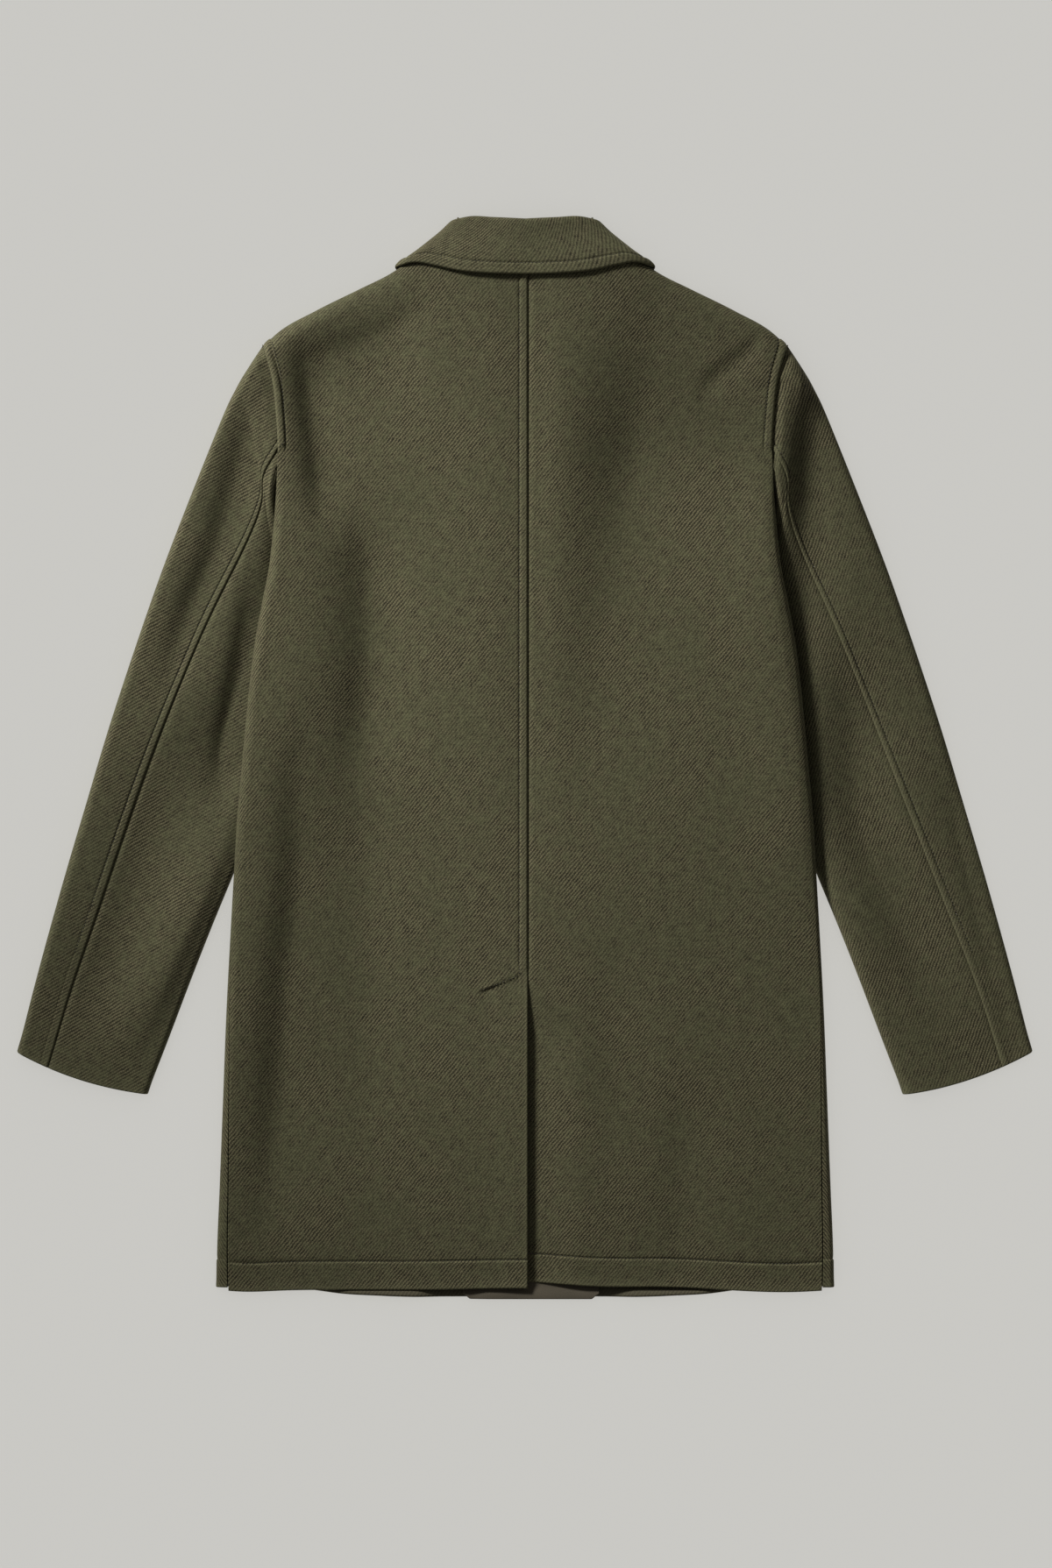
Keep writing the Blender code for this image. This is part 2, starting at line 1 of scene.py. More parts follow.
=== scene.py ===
"""Looks of the wool-twill coat, laid flat with its back upwards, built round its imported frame.

Metres. +X is to the right of the picture, +Y towards the collar, +Z up from the floor. The first half
repeats the coat's own sizes and forms; the second half sews the seams, adds thread and gives the cloth
its weave.
"""
import math

import bmesh
import bpy
import numpy as np
from mathutils import Matrix, Vector


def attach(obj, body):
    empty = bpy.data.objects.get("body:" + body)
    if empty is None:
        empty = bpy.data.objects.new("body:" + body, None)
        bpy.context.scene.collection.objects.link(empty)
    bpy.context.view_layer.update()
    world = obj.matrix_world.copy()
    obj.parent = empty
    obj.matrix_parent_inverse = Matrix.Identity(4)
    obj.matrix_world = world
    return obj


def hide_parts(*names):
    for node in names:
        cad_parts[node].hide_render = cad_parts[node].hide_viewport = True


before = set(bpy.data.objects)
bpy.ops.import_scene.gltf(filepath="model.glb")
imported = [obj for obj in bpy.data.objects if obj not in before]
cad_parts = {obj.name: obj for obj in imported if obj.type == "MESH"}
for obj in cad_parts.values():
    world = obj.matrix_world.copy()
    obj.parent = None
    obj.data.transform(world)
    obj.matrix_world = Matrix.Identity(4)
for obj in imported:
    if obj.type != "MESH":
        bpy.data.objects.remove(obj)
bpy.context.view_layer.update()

# Cloth and seams
WALL = 0.002
GAP = 0.0004
LAP_DROP = 0.0025
VENT_DROP = 0.0050
VENT_STAND = 0.0016
LAP_RAMP = 0.0075
LAP_HIDDEN = 0.0036
ELBOW_HIDDEN = {-1.0: 0.0026, 1.0: 0.0048}
VENT_RAMP = 0.0500
STEP = 1e-4

# Centre back, vent and front overlap
CB_X = 0.0023
CB_LAP = 0.010
VENT_LAP = 0.038
VENT_TOP = -0.1906
VENT_SLANT = 0.014
FRONT_EDGE = 0.025
FRONT_LIFT = 0.0028
FRONT_RAMP = 0.022

# Folds of the body
SIDE_ROLL = 0.008
SIDE_RADIUS = {-1.0: 0.009, 1.0: 0.004}
SHOULDER_ROLL = 0.010
SHOULDER_RADIUS = 0.016
SHOULDER_MID = 0.012
SIDE_THINNING = 0.12
SHOULDER_EASE = 0.05
SEAMED_BELOW = 0.02
VENT_EASE = 0.060
VENT_STAND_WIDTH = 0.040
VENT_CLOSE = 0.010
FRONT_FLAT = 0.010
HEM_SIDE = 0.272
SIDE_WIDTH = 0.27
CORNER_ROUNDS = 6

# Rises of the fronts over the sleeves' tucked edges and over the collar's ends
SLEEVE_UNDER = 0.105
SLEEVE_UNDER_EASE = 0.070
COLLAR_POINT_Y = 0.325
COLLAR_POINT_SLOPE = 1.55
COLLAR_UNDER = (-0.080, 0.050)  # start of the easing from the points' line, and its length

# Body side from shoulder point to hem: armhole seam above, side fold below
SIDE = (  # y, half_width, fold_mid, rolled, lift
    (0.3615, 0.2302, 0.0120, 0.00, 0.0000),
    (0.3300, 0.2218, 0.0130, 0.00, 0.0000),
    (0.3020, 0.2187, 0.0140, 0.00, 0.0010),
    (0.2707, 0.2170, 0.0150, 0.00, 0.0060),
    (0.2400, 0.2178, 0.0152, 0.25, 0.0090),
    (0.2150, 0.2197, 0.0152, 0.75, 0.0092),
    (0.1937, 0.2218, 0.0152, 1.00, 0.0092),
    (0.1675, 0.2248, 0.0152, 1.00, 0.0092),
    (0.1398, 0.2302, 0.0152, 1.00, 0.0092),
    (0.1036, 0.2368, 0.0152, 1.00, 0.0092),
    (0.0651, 0.2418, 0.0152, 1.00, 0.0092),
    (0.0266, 0.2456, 0.0152, 1.00, 0.0092),
    (-0.0119, 0.2491, 0.0152, 1.00, 0.0092),
    (-0.0504, 0.2526, 0.0152, 1.00, 0.0092),
    (-0.0966, 0.2553, 0.0150, 1.00, 0.0090),
    (-0.1467, 0.2583, 0.0128, 1.00, 0.0066),
    (-0.2237, 0.2626, 0.0086, 1.00, 0.0024),
    (-0.3007, 0.2657, 0.0066, 1.00, 0.0004),
    (-0.3777, 0.2687, 0.0062, 1.00, 0.0000),
    (-0.4354, 0.2710, 0.0060, 1.00, 0.0000),
    (-0.4800, 0.2713, 0.0060, 1.00, 0.0000),
)
SHOULDER = (  # half_width, y
    (0.0970, 0.4400), (0.1167, 0.4262), (0.1455, 0.4116), (0.1844, 0.3923), (0.2175, 0.3731),
    (0.2302, 0.3615),
)
BACK_HEIGHT = (  # y, height
    (-0.4700, 0.0115), (-0.4200, 0.0132), (-0.3000, 0.0165), (-0.1500, 0.0210), (0.0000, 0.0250),
    (0.1200, 0.0275), (0.2500, 0.0290), (0.3300, 0.0275), (0.4000, 0.0245), (0.4400, 0.0215),
)
SIDE_SEAM = (  # y, width of front cloth that shows on the back
    (-0.4800, 0.0105), (-0.4000, 0.0085), (-0.3000, 0.0055), (-0.2000, 0.0022), (-0.1400, 0.0),
    (0.4000, 0.0),
)
BACK_NECK = ((0.0, 0.4320), (0.050, 0.4335), (0.085, 0.4375))  # half_width, y
FRONT_NECK = ((0.0, 0.372), (0.030, 0.376), (0.060, 0.394), (0.085, 0.424))  # half_width, y
BACK_HEM_LEFT = (  # half_width, y
    (-0.010, -0.4662), (0.000, -0.4662), (0.090, -0.4676), (0.205, -0.4680), (0.250, -0.4692),
    (0.275, -0.4672),
)
BACK_HEM_RIGHT = (  # half_width, y
    (-0.040, -0.4605), (0.003, -0.4612), (0.064, -0.4647), (0.124, -0.4652), (0.240, -0.4695),
    (0.275, -0.4676),
)
FRONT_HEM = (  # half_width, y
    (-0.030, -0.4732), (0.120, -0.4732), (0.160, -0.4712), (0.200, -0.4672), (0.275, -0.4655),
)

# Soft folds: the way each runs, half width, ease of the lit side, height, then (place along, place across)
FOLD_FADE = 0.35
FOLDS = (
    ("down", 0.045, 2.6, -0.0118, ((0.60, -0.135), (0.20, -0.133), (0.00, -0.130), (-0.54, -0.124))),
    ("down", 0.022, 1.6, -0.0055, ((0.26, -0.137), (0.10, -0.134), (-0.04, -0.142))),
    ("down", 0.014, 2.0, -0.0085, ((0.39, -0.195), (0.33, -0.189), (0.28, -0.183), (0.18, -0.172))),
    ("across", 0.018, 4.5, -0.0042, ((-0.225, 0.335), (-0.160, 0.355), (-0.125, 0.369), (-0.070, 0.398))),
    ("down", 0.022, 3.2, -0.0105, ((0.09, -0.176), (0.00, -0.194), (-0.10, -0.196), (-0.20, -0.206),
                                   (-0.30, -0.213), (-0.47, -0.225))),
    ("down", 0.025, 0.8, -0.0025, ((0.60, 0.003), (0.00, 0.003), (-0.22, 0.003))),
    ("down", 0.042, 1.9, -0.0066, ((0.56, 0.150), (0.36, 0.120), (0.30, 0.111), (0.24, 0.096),
                                   (0.15, 0.080), (0.05, 0.068), (-0.12, 0.055))),
    ("across", 0.075, 1.2, -0.0105, ((0.02, 0.275), (0.12, 0.262), (0.26, 0.240))),
    ("across", 0.010, 1.5, -0.0025, ((0.145, 0.318), (0.170, 0.336), (0.190, 0.351), (0.215, 0.372))),
    ("down", 0.040, 0.3, 0.0052, ((0.33, 0.200), (0.20, 0.209), (0.05, 0.231), (-0.20, 0.250))),
    ("down", 0.020, 1.5, -0.0020, ((-0.26, 0.140), (-0.48, 0.138))),
    ("down", 0.020, 1.5, -0.0016, ((-0.14, 0.070), (-0.38, 0.085))),
)
SLEEVE_FOLDS = {  # the same, for each sleeve
    -1.0: (
        ("down", 0.016, 2.4, -0.0072, ((0.36, -0.235), (0.30, -0.240), (0.26, -0.248), (0.22, -0.258),
                                       (0.18, -0.270), (0.14, -0.287), (0.10, -0.300), (0.02, -0.318))),
        ("down", 0.011, 1.6, -0.0050, ((0.19, -0.236), (0.10, -0.247), (0.02, -0.261), (-0.06, -0.272))),
        ("down", 0.030, 1.2, -0.0055, ((0.06, -0.300), (-0.06, -0.328), (-0.14, -0.352), (-0.30, -0.410))),
        ("down", 0.030, 0.5, 0.0060, ((0.00, -0.250), (-0.10, -0.275), (-0.18, -0.311), (-0.28, -0.354))),
    ),
    1.0: (
        ("down", 0.018, 1.4, -0.0074, ((0.38, 0.238), (0.30, 0.2435), (0.25, 0.247), (0.20, 0.248),
                                       (0.06, 0.258))),
        ("down", 0.008, 3.6, 0.0062, ((0.24, 0.228), (0.20, 0.230), (0.14, 0.239), (0.10, 0.2465),
                                      (0.06, 0.251), (0.00, 0.2575), (-0.06, 0.263), (-0.10, 0.269),
                                      (-0.22, 0.315))),
        ("down", 0.024, 1.3, -0.0055, ((0.16, 0.268), (0.06, 0.288), (-0.06, 0.298), (-0.14, 0.330),
                                       (-0.28, 0.380))),
        ("down", 0.012, 1.5, -0.0024, ((0.02, 0.362), (-0.10, 0.395), (-0.24, 0.432))),
    ),
}

# Sleeve rings from armhole to cuff: outer fold, elbow seam and inner fold in plan, heights of the
# top layer there, and the share of the width at which the layer has come down to the inner height
SLEEVE = (  # outer_x, outer_y, seam_x, seam_y, inner_x, inner_y, outer_h, seam_h, inner_h, valley
    (0.2302, 0.3615, 0.2170, 0.2707, 0.2080, 0.1780, 0.0240, 0.0225, 0.0080, 0.72),
    (0.2440, 0.3410, 0.2295, 0.2476, 0.2050, 0.1400, 0.0240, 0.0222, 0.0080, 0.66),
    (0.2540, 0.3240, 0.2314, 0.2206, 0.2060, 0.0950, 0.0230, 0.0215, 0.0080, 0.61),
    (0.2680, 0.2940, 0.2437, 0.1860, 0.2120, 0.0480, 0.0220, 0.0208, 0.0080, 0.61),
    (0.3090, 0.1910, 0.2750, 0.1190, 0.2240, -0.0020, 0.0210, 0.0200, 0.0080, 0.67),
    (0.3340, 0.1220, 0.3010, 0.0574, 0.2400, -0.0600, 0.0200, 0.0190, 0.0082, 0.78),
    (0.3640, 0.0320, 0.3280, -0.0120, 0.2560, -0.1010, 0.0190, 0.0180, 0.0086, 0.93),
    (0.3856, -0.0397, 0.3510, -0.0735, 0.2749, -0.1470, 0.0180, 0.0170, 0.0105, 1.00),
    (0.4064, -0.1100, 0.3735, -0.1350, 0.2938, -0.1950, 0.0170, 0.0160, 0.0110, 1.00),
    (0.4284, -0.1893, 0.3989, -0.2044, 0.3139, -0.2480, 0.0155, 0.0150, 0.0110, 1.00),
    (0.4463, -0.2590, 0.4197, -0.2722, 0.3326, -0.2960, 0.0140, 0.0140, 0.0110, 1.00),
)
ARMHOLE_LAP = 0.009
ELBOW_LAP = 0.009
ELBOW_SKEW = 0.006
FOREARM_SEAM = 0.86
FOREARM_GAP = 0.006  # radians
SLEEVE_ROUND = {-1.0: (0.45, 0.45), 1.0: (1.1, 0.5)}  # outer, inner
SLEEVE_ROUND_MOST = 0.016
SLEEVE_LOW = 0.0064
VALLEY_SHIFT = {-1.0: 0.17, 1.0: 0.10}
VALLEY_HEAD = {-1.0: 0.10, 1.0: 0.0}
VALLEY_LEAST = 0.05
SLEEVE_SINK = {-1.0: 0.0, 1.0: 0.0085}
SINK_OUTER = 1.15
SINK_SEAM = 0.8
SLEEVE_INNER_RISE = {-1.0: 0.0, 1.0: 0.0045}
HEAD_TUCK = 0.30
HEAD_TUCK_X = 0.006
HEAD_TUCK_Y = 0.002
HEAD_TUCK_FLAT = 0.30

# Eased stretches of a sleeve: start and length, as shares of its width or counted in its rings
LAP_IN = (0.06, 0.14)
LAP_OUT = (0.50, 0.08)
TUCK_OUT = (0.56, 0.10)
FIT_OUT = (0.70, 0.25)
SINK_RINGS = (0.8, 3.0)
RISE_RINGS = (6.0, 2.0)
HEAD_RINGS = (0.8, 1.4)
SHIFT_RINGS = (3.5, 2.0)
BUTT_RINGS = 3.0
FOLD_RINGS = 1.5
TUCK_RINGS = 0.5

# Collar: leaf from the roll line to its edge, stand from the roll line to the neck seam
LEAF_WIDTH = (  # share from roll to edge, half_width of the side fold
    (0.0, 0.0640), (0.243, 0.0743), (0.459, 0.0855), (0.677, 0.0974), (0.892, 0.1105), (1.0, 0.1147),
)
ROLL_LINE = ((0.0, 0.4732), (0.030, 0.4748), (0.050, 0.4758), (0.064, 0.4735))  # half_width, y
LEAF_EDGE = (  # half_width, y
    (0.0, 0.4236), (0.030, 0.4243), (0.058, 0.4268), (0.080, 0.4315), (0.096, 0.4343), (0.1147, 0.4308),
)
LEAF_LENGTH = 0.048
LEAF_LIFT = 0.0044
LEAF_END_LIFT = 0.0026
COLLAR_TENT = 0.14
COLLAR_CROWN = 0.020
ROLL_TOP = 0.0200
ROLL_RADIUS = 0.0035
ROLL_TURN = 0.006
COLLAR_ROLL = 0.008
COLLAR_RADIUS = 0.009
COLLAR_CLEAR = 0.0034
ROLL_FRONT_DROP = 0.0885
EDGE_FRONT_DROP = 0.106
ROLL_FRONT_END = 0.008
EDGE_FRONT_END = 0.048
STAND_NECK = 0.0955
STAND_NECK_Y = 0.4405
STAND_REST_Y = 0.4375
STAND_FRONT_DROP = 0.004
LEAF_REST_Y = 0.430
LEAF_END_EASE = (0.040, 0.050)
COLLAR_MID = (0.0100, 0.0125)  # height of the side fold at the roll and at the edge
ROLL_ROUND = 1.15

# Facing that shows under the back hem
FACING_LEFT = -0.055
FACING_RIGHT = 0.065
FACING_HEM = -0.4758
FACING_TOP = -0.430
FACING_BASE = 0.0053
FACING_SLANT = 0.004
FACING_SLANT_SHARE = 0.06
FACING_LEFT_DROP = 0.0022
FACING_LEFT_EASE = (-0.050, 0.020)

# Curl of the fronts' lower edge
HEM_CURL = 0.0105
HEM_CURL_FACED = 0.4
HEM_CURL_REACH = 0.014
CURL_FACED = (0.070, 0.030)
CURL_END = (0.150, 0.060)

SIDES = (("left", -1.0), ("right", 1.0))


def smooth(t):
    t = np.clip(t, 0.0, 1.0)
    return t * t * (3.0 - 2.0 * t)


def ease(value, start, length):
    """Rise from 0 to 1 over a stretch of this length."""
    return smooth((value - start) / length)


def mix(a, b, t):
    return a + (b - a) * t


def track(rows, place):
    """Smooth curve through a table whose first column is the place; straight beyond its ends."""
    table = np.array(sorted(rows))
    keys = table[:, 0]
    values = table[:, 1:]
    slopes = np.gradient(values, keys, axis=0)
    place = np.asarray(place, float)
    inside = np.clip(place, keys[0], keys[-1])
    i = np.clip(np.searchsorted(keys, inside) - 1, 0, len(keys) - 2)
    span = (keys[i + 1] - keys[i])[..., None]
    t = (inside - keys[i])[..., None] / span
    t2 = t * t
    t3 = t2 * t
    out = (2 * t3 - 3 * t2 + 1) * values[i] + (t3 - 2 * t2 + t) * span * slopes[i]
    out = out + (3 * t2 - 2 * t3) * values[i + 1] + (t3 - t2) * span * slopes[i + 1]
    out = out + (place - inside)[..., None] * np.where((place > inside)[..., None], slopes[-1], slopes[0])
    return [out[..., k] for k in range(out.shape[-1])]


def folded(reach, roll):
    """Plan distance from a fold for cloth that reaches this far along the surface from its extreme."""
    roll = np.maximum(roll, 1e-6)
    reach = np.abs(reach)
    return np.where(reach < 2.0 * roll, reach * reach / (4.0 * roll), reach - roll)


def cap(distance, radius):
    """Height share of a rounded edge, 0 at its extreme and 1 past the radius."""
    t = 1.0 - np.clip(distance / radius, 0.0, 1.0)
    return np.sqrt(np.maximum(1.0 - t * t, 0.0))


def fold_field(x, y, folds=FOLDS):
    """Soft troughs and ridges of the cloth, as height."""
    total = np.zeros(np.broadcast(x, y).shape)
    for way, half, ease, height, path in folds:
        along = y if way == "down" else x
        first, last = min(path)[0], max(path)[0]
        line = track(path, along)[0]
        across = x - line if way == "down" else line - y
        fade = FOLD_FADE * (last - first)
        taper = smooth((along - first) / fade) * smooth((last - along) / fade)
        spread = half * np.where(across > 0.0, ease, 1.0)
        total = total + height * taper * np.exp(-(across / spread) ** 2)
    return total


def side_rows(y):
    half, mid, rolled, lift = track(SIDE, y)
    return half, mid, np.clip(rolled, 0.0, 1.0), np.maximum(lift, 0.0)


def collar_lift(a, y):
    """Rise of the fronts over the collar's ends."""
    line = COLLAR_POINT_Y + COLLAR_POINT_SLOPE * np.maximum(a - EDGE_FRONT_END, 0.0)
    return COLLAR_CLEAR * ease(y - line, *COLLAR_UNDER)


def sleeve_lift(a, half, lift):
    """Rise of the fronts over a sleeve's tucked edge."""
    return lift * ease(a, half - SLEEVE_UNDER, SLEEVE_UNDER_EASE)


def body_heights(x, y, half, mid, rolled, drop, inset, radius):
    """Middle of the side fold, rounding of the edges, and the back's outer surface, over a plan point."""
    middle = mix(SHOULDER_MID, mid, smooth(drop / SHOULDER_EASE))
    round_all = (1.0 - rolled * (1.0 - cap(inset, radius))) * cap(drop, SHOULDER_RADIUS)
    height = track(BACK_HEIGHT, y)[0] * (1.0 - SIDE_THINNING * (x / half) ** 2) + fold_field(x, y)
    return middle, round_all, middle + (height - middle) * round_all


def body_point(across, along, face, side):
    """Body cloth from flat to folded: across from the middle, along the length, on one face."""
    a = np.abs(across)
    sign = np.where(across >= 0.0, 1.0, -1.0)
    crest = track(SHOULDER, a)[0]
    reach_top = crest + SHOULDER_ROLL - along
    drop = folded(reach_top, SHOULDER_ROLL)
    y = crest - drop
    half, mid, rolled, lift = side_rows(y)
    reach_side = half + SIDE_ROLL * rolled - a
    seamed = rolled < SEAMED_BELOW
    inset = np.where(seamed, reach_side, folded(reach_side, SIDE_ROLL * rolled))
    x = half - inset
    face = face * np.where((reach_side < 0.0) & ~seamed, -1.0, 1.0) * np.where(reach_top < 0.0, -1.0, 1.0)
    plan_x = x * sign * side
    middle, round_all, top = body_heights(plan_x, y, half, mid, rolled, drop, inset, SIDE_RADIUS[side])
    low = sleeve_lift(x, half, lift) + collar_lift(x, y)
    bottom = middle - (middle - low) * round_all
    return np.stack([plan_x, y, np.where(face > 0.0, top, bottom)], axis=-1)


def back_height(x, y):
    """Height of the back's outer surface over a plan point away from the side folds."""
    a = np.abs(x)
    half, mid, rolled, lift = side_rows(y)
    drop = np.maximum(track(SHOULDER, a)[0] - y, 0.0)
    inset = np.maximum(half - a, 0.0)
    radius = np.where(x < 0.0, SIDE_RADIUS[-1.0], SIDE_RADIUS[1.0])
    return body_heights(x, y, half, mid, rolled, drop, inset, radius)[2]


def patch(u, v, top, bottom, inner, outer):
    """Sheet between four edge curves in the flat."""
    left = inner(v)
    right = outer(v)
    high = top(u)
    low = bottom(u)
    zero = np.zeros_like(u)
    one = np.ones_like(u)
    c00, c10, c01, c11 = top(zero), top(one), bottom(zero), bottom(one)
    out = []
    for k in range(2):
        ruled = mix(high[k], low[k], v) + mix(left[k], right[k], u)
        corner = mix(mix(c00[k], c10[k], u), mix(c01[k], c11[k], u), v)
        out.append(ruled - corner)
    return out


def outer_edge(y, sign):
    """Side edge in the flat: the back stops short of the seam and the front runs on to it."""
    y = np.minimum(y, SHOULDER[-1][1])
    half, mid, rolled, lift = side_rows(y)
    strip = np.maximum(track(SIDE_SEAM, y)[0], 0.0)
    turn = np.where(strip < SIDE_ROLL, 2.0 * np.sqrt(SIDE_ROLL * strip), strip + SIDE_ROLL)
    return half + SIDE_ROLL * rolled - sign * turn - GAP


def body_patch(u, v, neck, hem, inner_x, face):
    """Body panel in the flat, from its middle edge to its side edge and from shoulder to hem."""
    corner_y = np.array(SHOULDER[-1][1])
    for _ in range(CORNER_ROUNDS):
        corner = outer_edge(corner_y, face)
        corner_y = track(SHOULDER, corner)[0] + SHOULDER_ROLL - 2.0 * GAP
    neck_x = SHOULDER[0][0]

    def top(s):
        x = mix(inner_x, corner, s)
        crest = track(SHOULDER, np.maximum(x, neck_x))[0] + SHOULDER_ROLL - 2.0 * GAP
        opening = track(neck, np.abs(x))[0]
        edge = neck[-1][0]
        return x, np.where(x > neck_x, crest, mix(opening, crest, smooth((x - edge) / (neck_x - edge))))

    def bottom(s):
        x = mix(inner_x, outer_edge(track(hem, SIDE_WIDTH)[0], face), s)
        return x, track(hem, np.minimum(x, HEM_SIDE))[0]

    def down(s, t):
        return mix(top(np.array(s))[1], bottom(np.array(s))[1], t)

    def inner(t):
        return inner_x + np.zeros_like(t), down(0.0, t)

    def outer(t):
        y = down(1.0, t)
        return outer_edge(y, face), y

    return patch(u, v, top, bottom, inner, outer)


def back_left_flat(u, v):
    return body_patch(u, v, BACK_NECK, BACK_HEM_LEFT, -CB_X, 1.0)


def back_right_flat(u, v):
    """Columns below zero are the lap under the left back: seam allowance above, vent underlap below."""
    across, along = body_patch(np.maximum(u, 0.0), v, BACK_NECK, BACK_HEM_RIGHT, CB_X + GAP, 1.0)
    vent = smooth((VENT_TOP - along) / VENT_SLANT)
    return across + np.minimum(u, 0.0) * mix(CB_LAP, VENT_LAP, vent), along


def front_flat(u, v):
    return body_patch(u, v, FRONT_NECK, FRONT_HEM, -FRONT_EDGE, -1.0)


def back_left(u, v):
    """Left back, whose edge stands up a little along the open vent."""
    across, along = back_left_flat(u, v)
    point = body_point(across, along, 1.0, -1.0)
    stand = VENT_STAND * smooth((VENT_TOP - along) / VENT_EASE)
    point[..., 2] += stand * (1.0 - smooth((across + CB_X) / VENT_STAND_WIDTH))
    return point


def back_right(u, v):
    """Right back, which dips under the left one."""
    across, along = back_right_flat(u, v)
    point = body_point(across, along, 1.0, 1.0)
    opened = smooth((VENT_TOP - along) / VENT_EASE)
    ramp = mix(LAP_RAMP, VENT_RAMP, opened)
    beyond = across - (CB_X + GAP) + mix(LAP_HIDDEN, 0.0, opened)
    point[..., 2] -= mix(LAP_DROP, VENT_DROP, opened) * (1.0 - smooth(beyond / ramp))
    return point


def hem_curl(rise, across):
    """Lift of the fronts' lower edge, less where the facing lies over it."""
    faced = 1.0 - ease(np.abs(across), *CURL_FACED)
    return HEM_CURL * mix(1.0, HEM_CURL_FACED, faced) * smooth(1.0 - rise / HEM_CURL_REACH)


def front_step(x):
    """Step up of the right front where it lies on the left one."""
    return FRONT_LIFT * (1.0 - smooth((x - FRONT_EDGE - FRONT_FLAT) / FRONT_RAMP))


def front_surface(side):
    def surface(u, v):
        across, along = front_flat(u, v)
        point = body_point(across, along, -1.0, side)
        if side > 0.0:
            point[..., 2] += front_step(across)
        point[..., 2] += hem_curl(along - FRONT_HEM[0][1], across) * (1.0 - ease(across, *CURL_END))
        return point
    return surface


def front_low(x, y):
    """Height of the fronts' outer surface over a plan point, away from the side folds."""
    a = np.abs(x)
    half, mid, rolled, lift = side_rows(y)
    crest = track(SHOULDER, a)[0]
    drop = np.maximum(crest - y, 0.0)
    middle = mix(SHOULDER_MID, mid, smooth(drop / SHOULDER_EASE))
    low = sleeve_lift(a, half, lift) + collar_lift(a, y)
    return middle - (middle - low) * cap(drop, SHOULDER_RADIUS) + front_step(x) * (x > 0.0)


def sleeve_rows(place):
    return track([(float(k),) + row for k, row in enumerate(SLEEVE)], place)


def sleeve_seam(ring, side):
    """Share of the width at which the elbow seam lies, and the width, on one ring."""
    place = np.maximum(ring, 0.0)
    ox, oy, sx, sy, ix, iy = sleeve_rows(place)[:6]
    reach = np.hypot(ox - sx, oy - sy)
    width = reach + np.hypot(sx - ix, sy - iy)
    skew = ELBOW_SKEW * np.sin(np.pi * place / (len(SLEEVE) - 1.0)) ** 2
    return (reach + side * skew) / width, width


def sleeve_plan(share, place):
    """Plan point of a ring at a share of its width, bent through the elbow seam."""
    ox, oy, sx, sy, ix, iy = sleeve_rows(place)[:6]
    reach = np.hypot(ox - sx, oy - sy)
    width = reach + np.hypot(sx - ix, sy - iy)
    bend = reach / width
    at_outer = (share - bend) * (share - 1.0) / bend
    at_seam = share * (share - 1.0) / (bend * (bend - 1.0))
    at_inner = share * (share - bend) / (1.0 - bend)
    return at_outer * ox + at_seam * sx + at_inner * ix, at_outer * oy + at_seam * sy + at_inner * iy, width


def turn_at(share):
    """Angle round a sleeve at a share of its width, over the top."""
    return np.arccos(1.0 - 2.0 * share)


def sleeve_point(angle, ring, side, under):
    """Sleeve cloth: angle runs from the outer fold (0) over the top to the inner fold (pi)."""
    share = 0.5 * (1.0 - np.cos(angle))
    tuck_in = np.clip(-(ring + 1.0) / HEAD_TUCK, 0.0, 1.0)
    ring = np.maximum(ring, -1.0)
    top = np.sin(angle) >= 0.0
    lap = ease(share, *LAP_IN) * (1.0 - ease(share, *LAP_OUT)) * top
    butt = np.where(ring < BUTT_RINGS, BUTT_RINGS / (BUTT_RINGS + 1.0) * (ring + 1.0), ring)
    place = mix(butt, np.maximum(ring, 0.0), lap)
    outer_h, seam_h, inner_h, valley = sleeve_rows(place)[6:]
    sink = SLEEVE_SINK[side] * ease(place, *SINK_RINGS)
    outer_h = outer_h - SINK_OUTER * sink
    seam_h = seam_h - SINK_SEAM * sink
    inner_h = inner_h + SLEEVE_INNER_RISE[side] * ease(place, *RISE_RINGS)
    valley = valley + VALLEY_HEAD[side] * (1.0 - ease(place, *HEAD_RINGS))
    valley = valley + VALLEY_SHIFT[side] * (1.0 - ease(place, *SHIFT_RINGS))
    x, y, width = sleeve_plan(share, place)
    seam = sleeve_seam(ring, side)[0]
    hole_x, hole_y = sleeve_plan(share, np.zeros_like(place))[:2]
    fit = side_rows(hole_y)[0] + GAP * (1.0 - lap) - hole_x
    x = x + fit * (1.0 - smooth(place)) * (1.0 - ease(share, *FIT_OUT))
    x = x + ARMHOLE_LAP * lap * np.minimum(ring, 0.0)
    height = np.where(share < seam, mix(outer_h, seam_h, smooth(share / seam)),
                      mix(seam_h, inner_h, smooth((share - seam) / np.maximum(valley - seam, VALLEY_LEAST))))
    height = height + smooth(ring / FOLD_RINGS) * fold_field(side * x, y, SLEEVE_FOLDS[side])
    height = np.maximum(height, SLEEVE_LOW)
    tucked = back_height(side * x, y) - LAP_DROP
    tuck = top * (1.0 - ease(share, *TUCK_OUT)) * (1.0 - smooth(place / TUCK_RINGS))
    height = mix(height, tucked, tuck)
    if under:
        beyond = (share - seam) * width + ELBOW_HIDDEN[side]
        height = height - LAP_DROP * (1.0 - smooth(beyond / LAP_RAMP))
    end_h = np.where(share < 0.5, outer_h, inner_h)
    turn = np.where(share < 0.5, *SLEEVE_ROUND[side])
    rounded = cap(width * np.minimum(share, 1.0 - share), np.minimum(turn * end_h, SLEEVE_ROUND_MOST))
    mid = 0.5 * end_h
    z = np.where(top, mid + (height - mid) * rounded, mid * (1.0 - rounded))
    x = x - HEAD_TUCK_X * tuck_in
    y = y - HEAD_TUCK_Y * tuck_in
    z = mix(z, mid, HEAD_TUCK_FLAT * tuck_in)
    return np.stack([side * x, y, z], axis=-1)


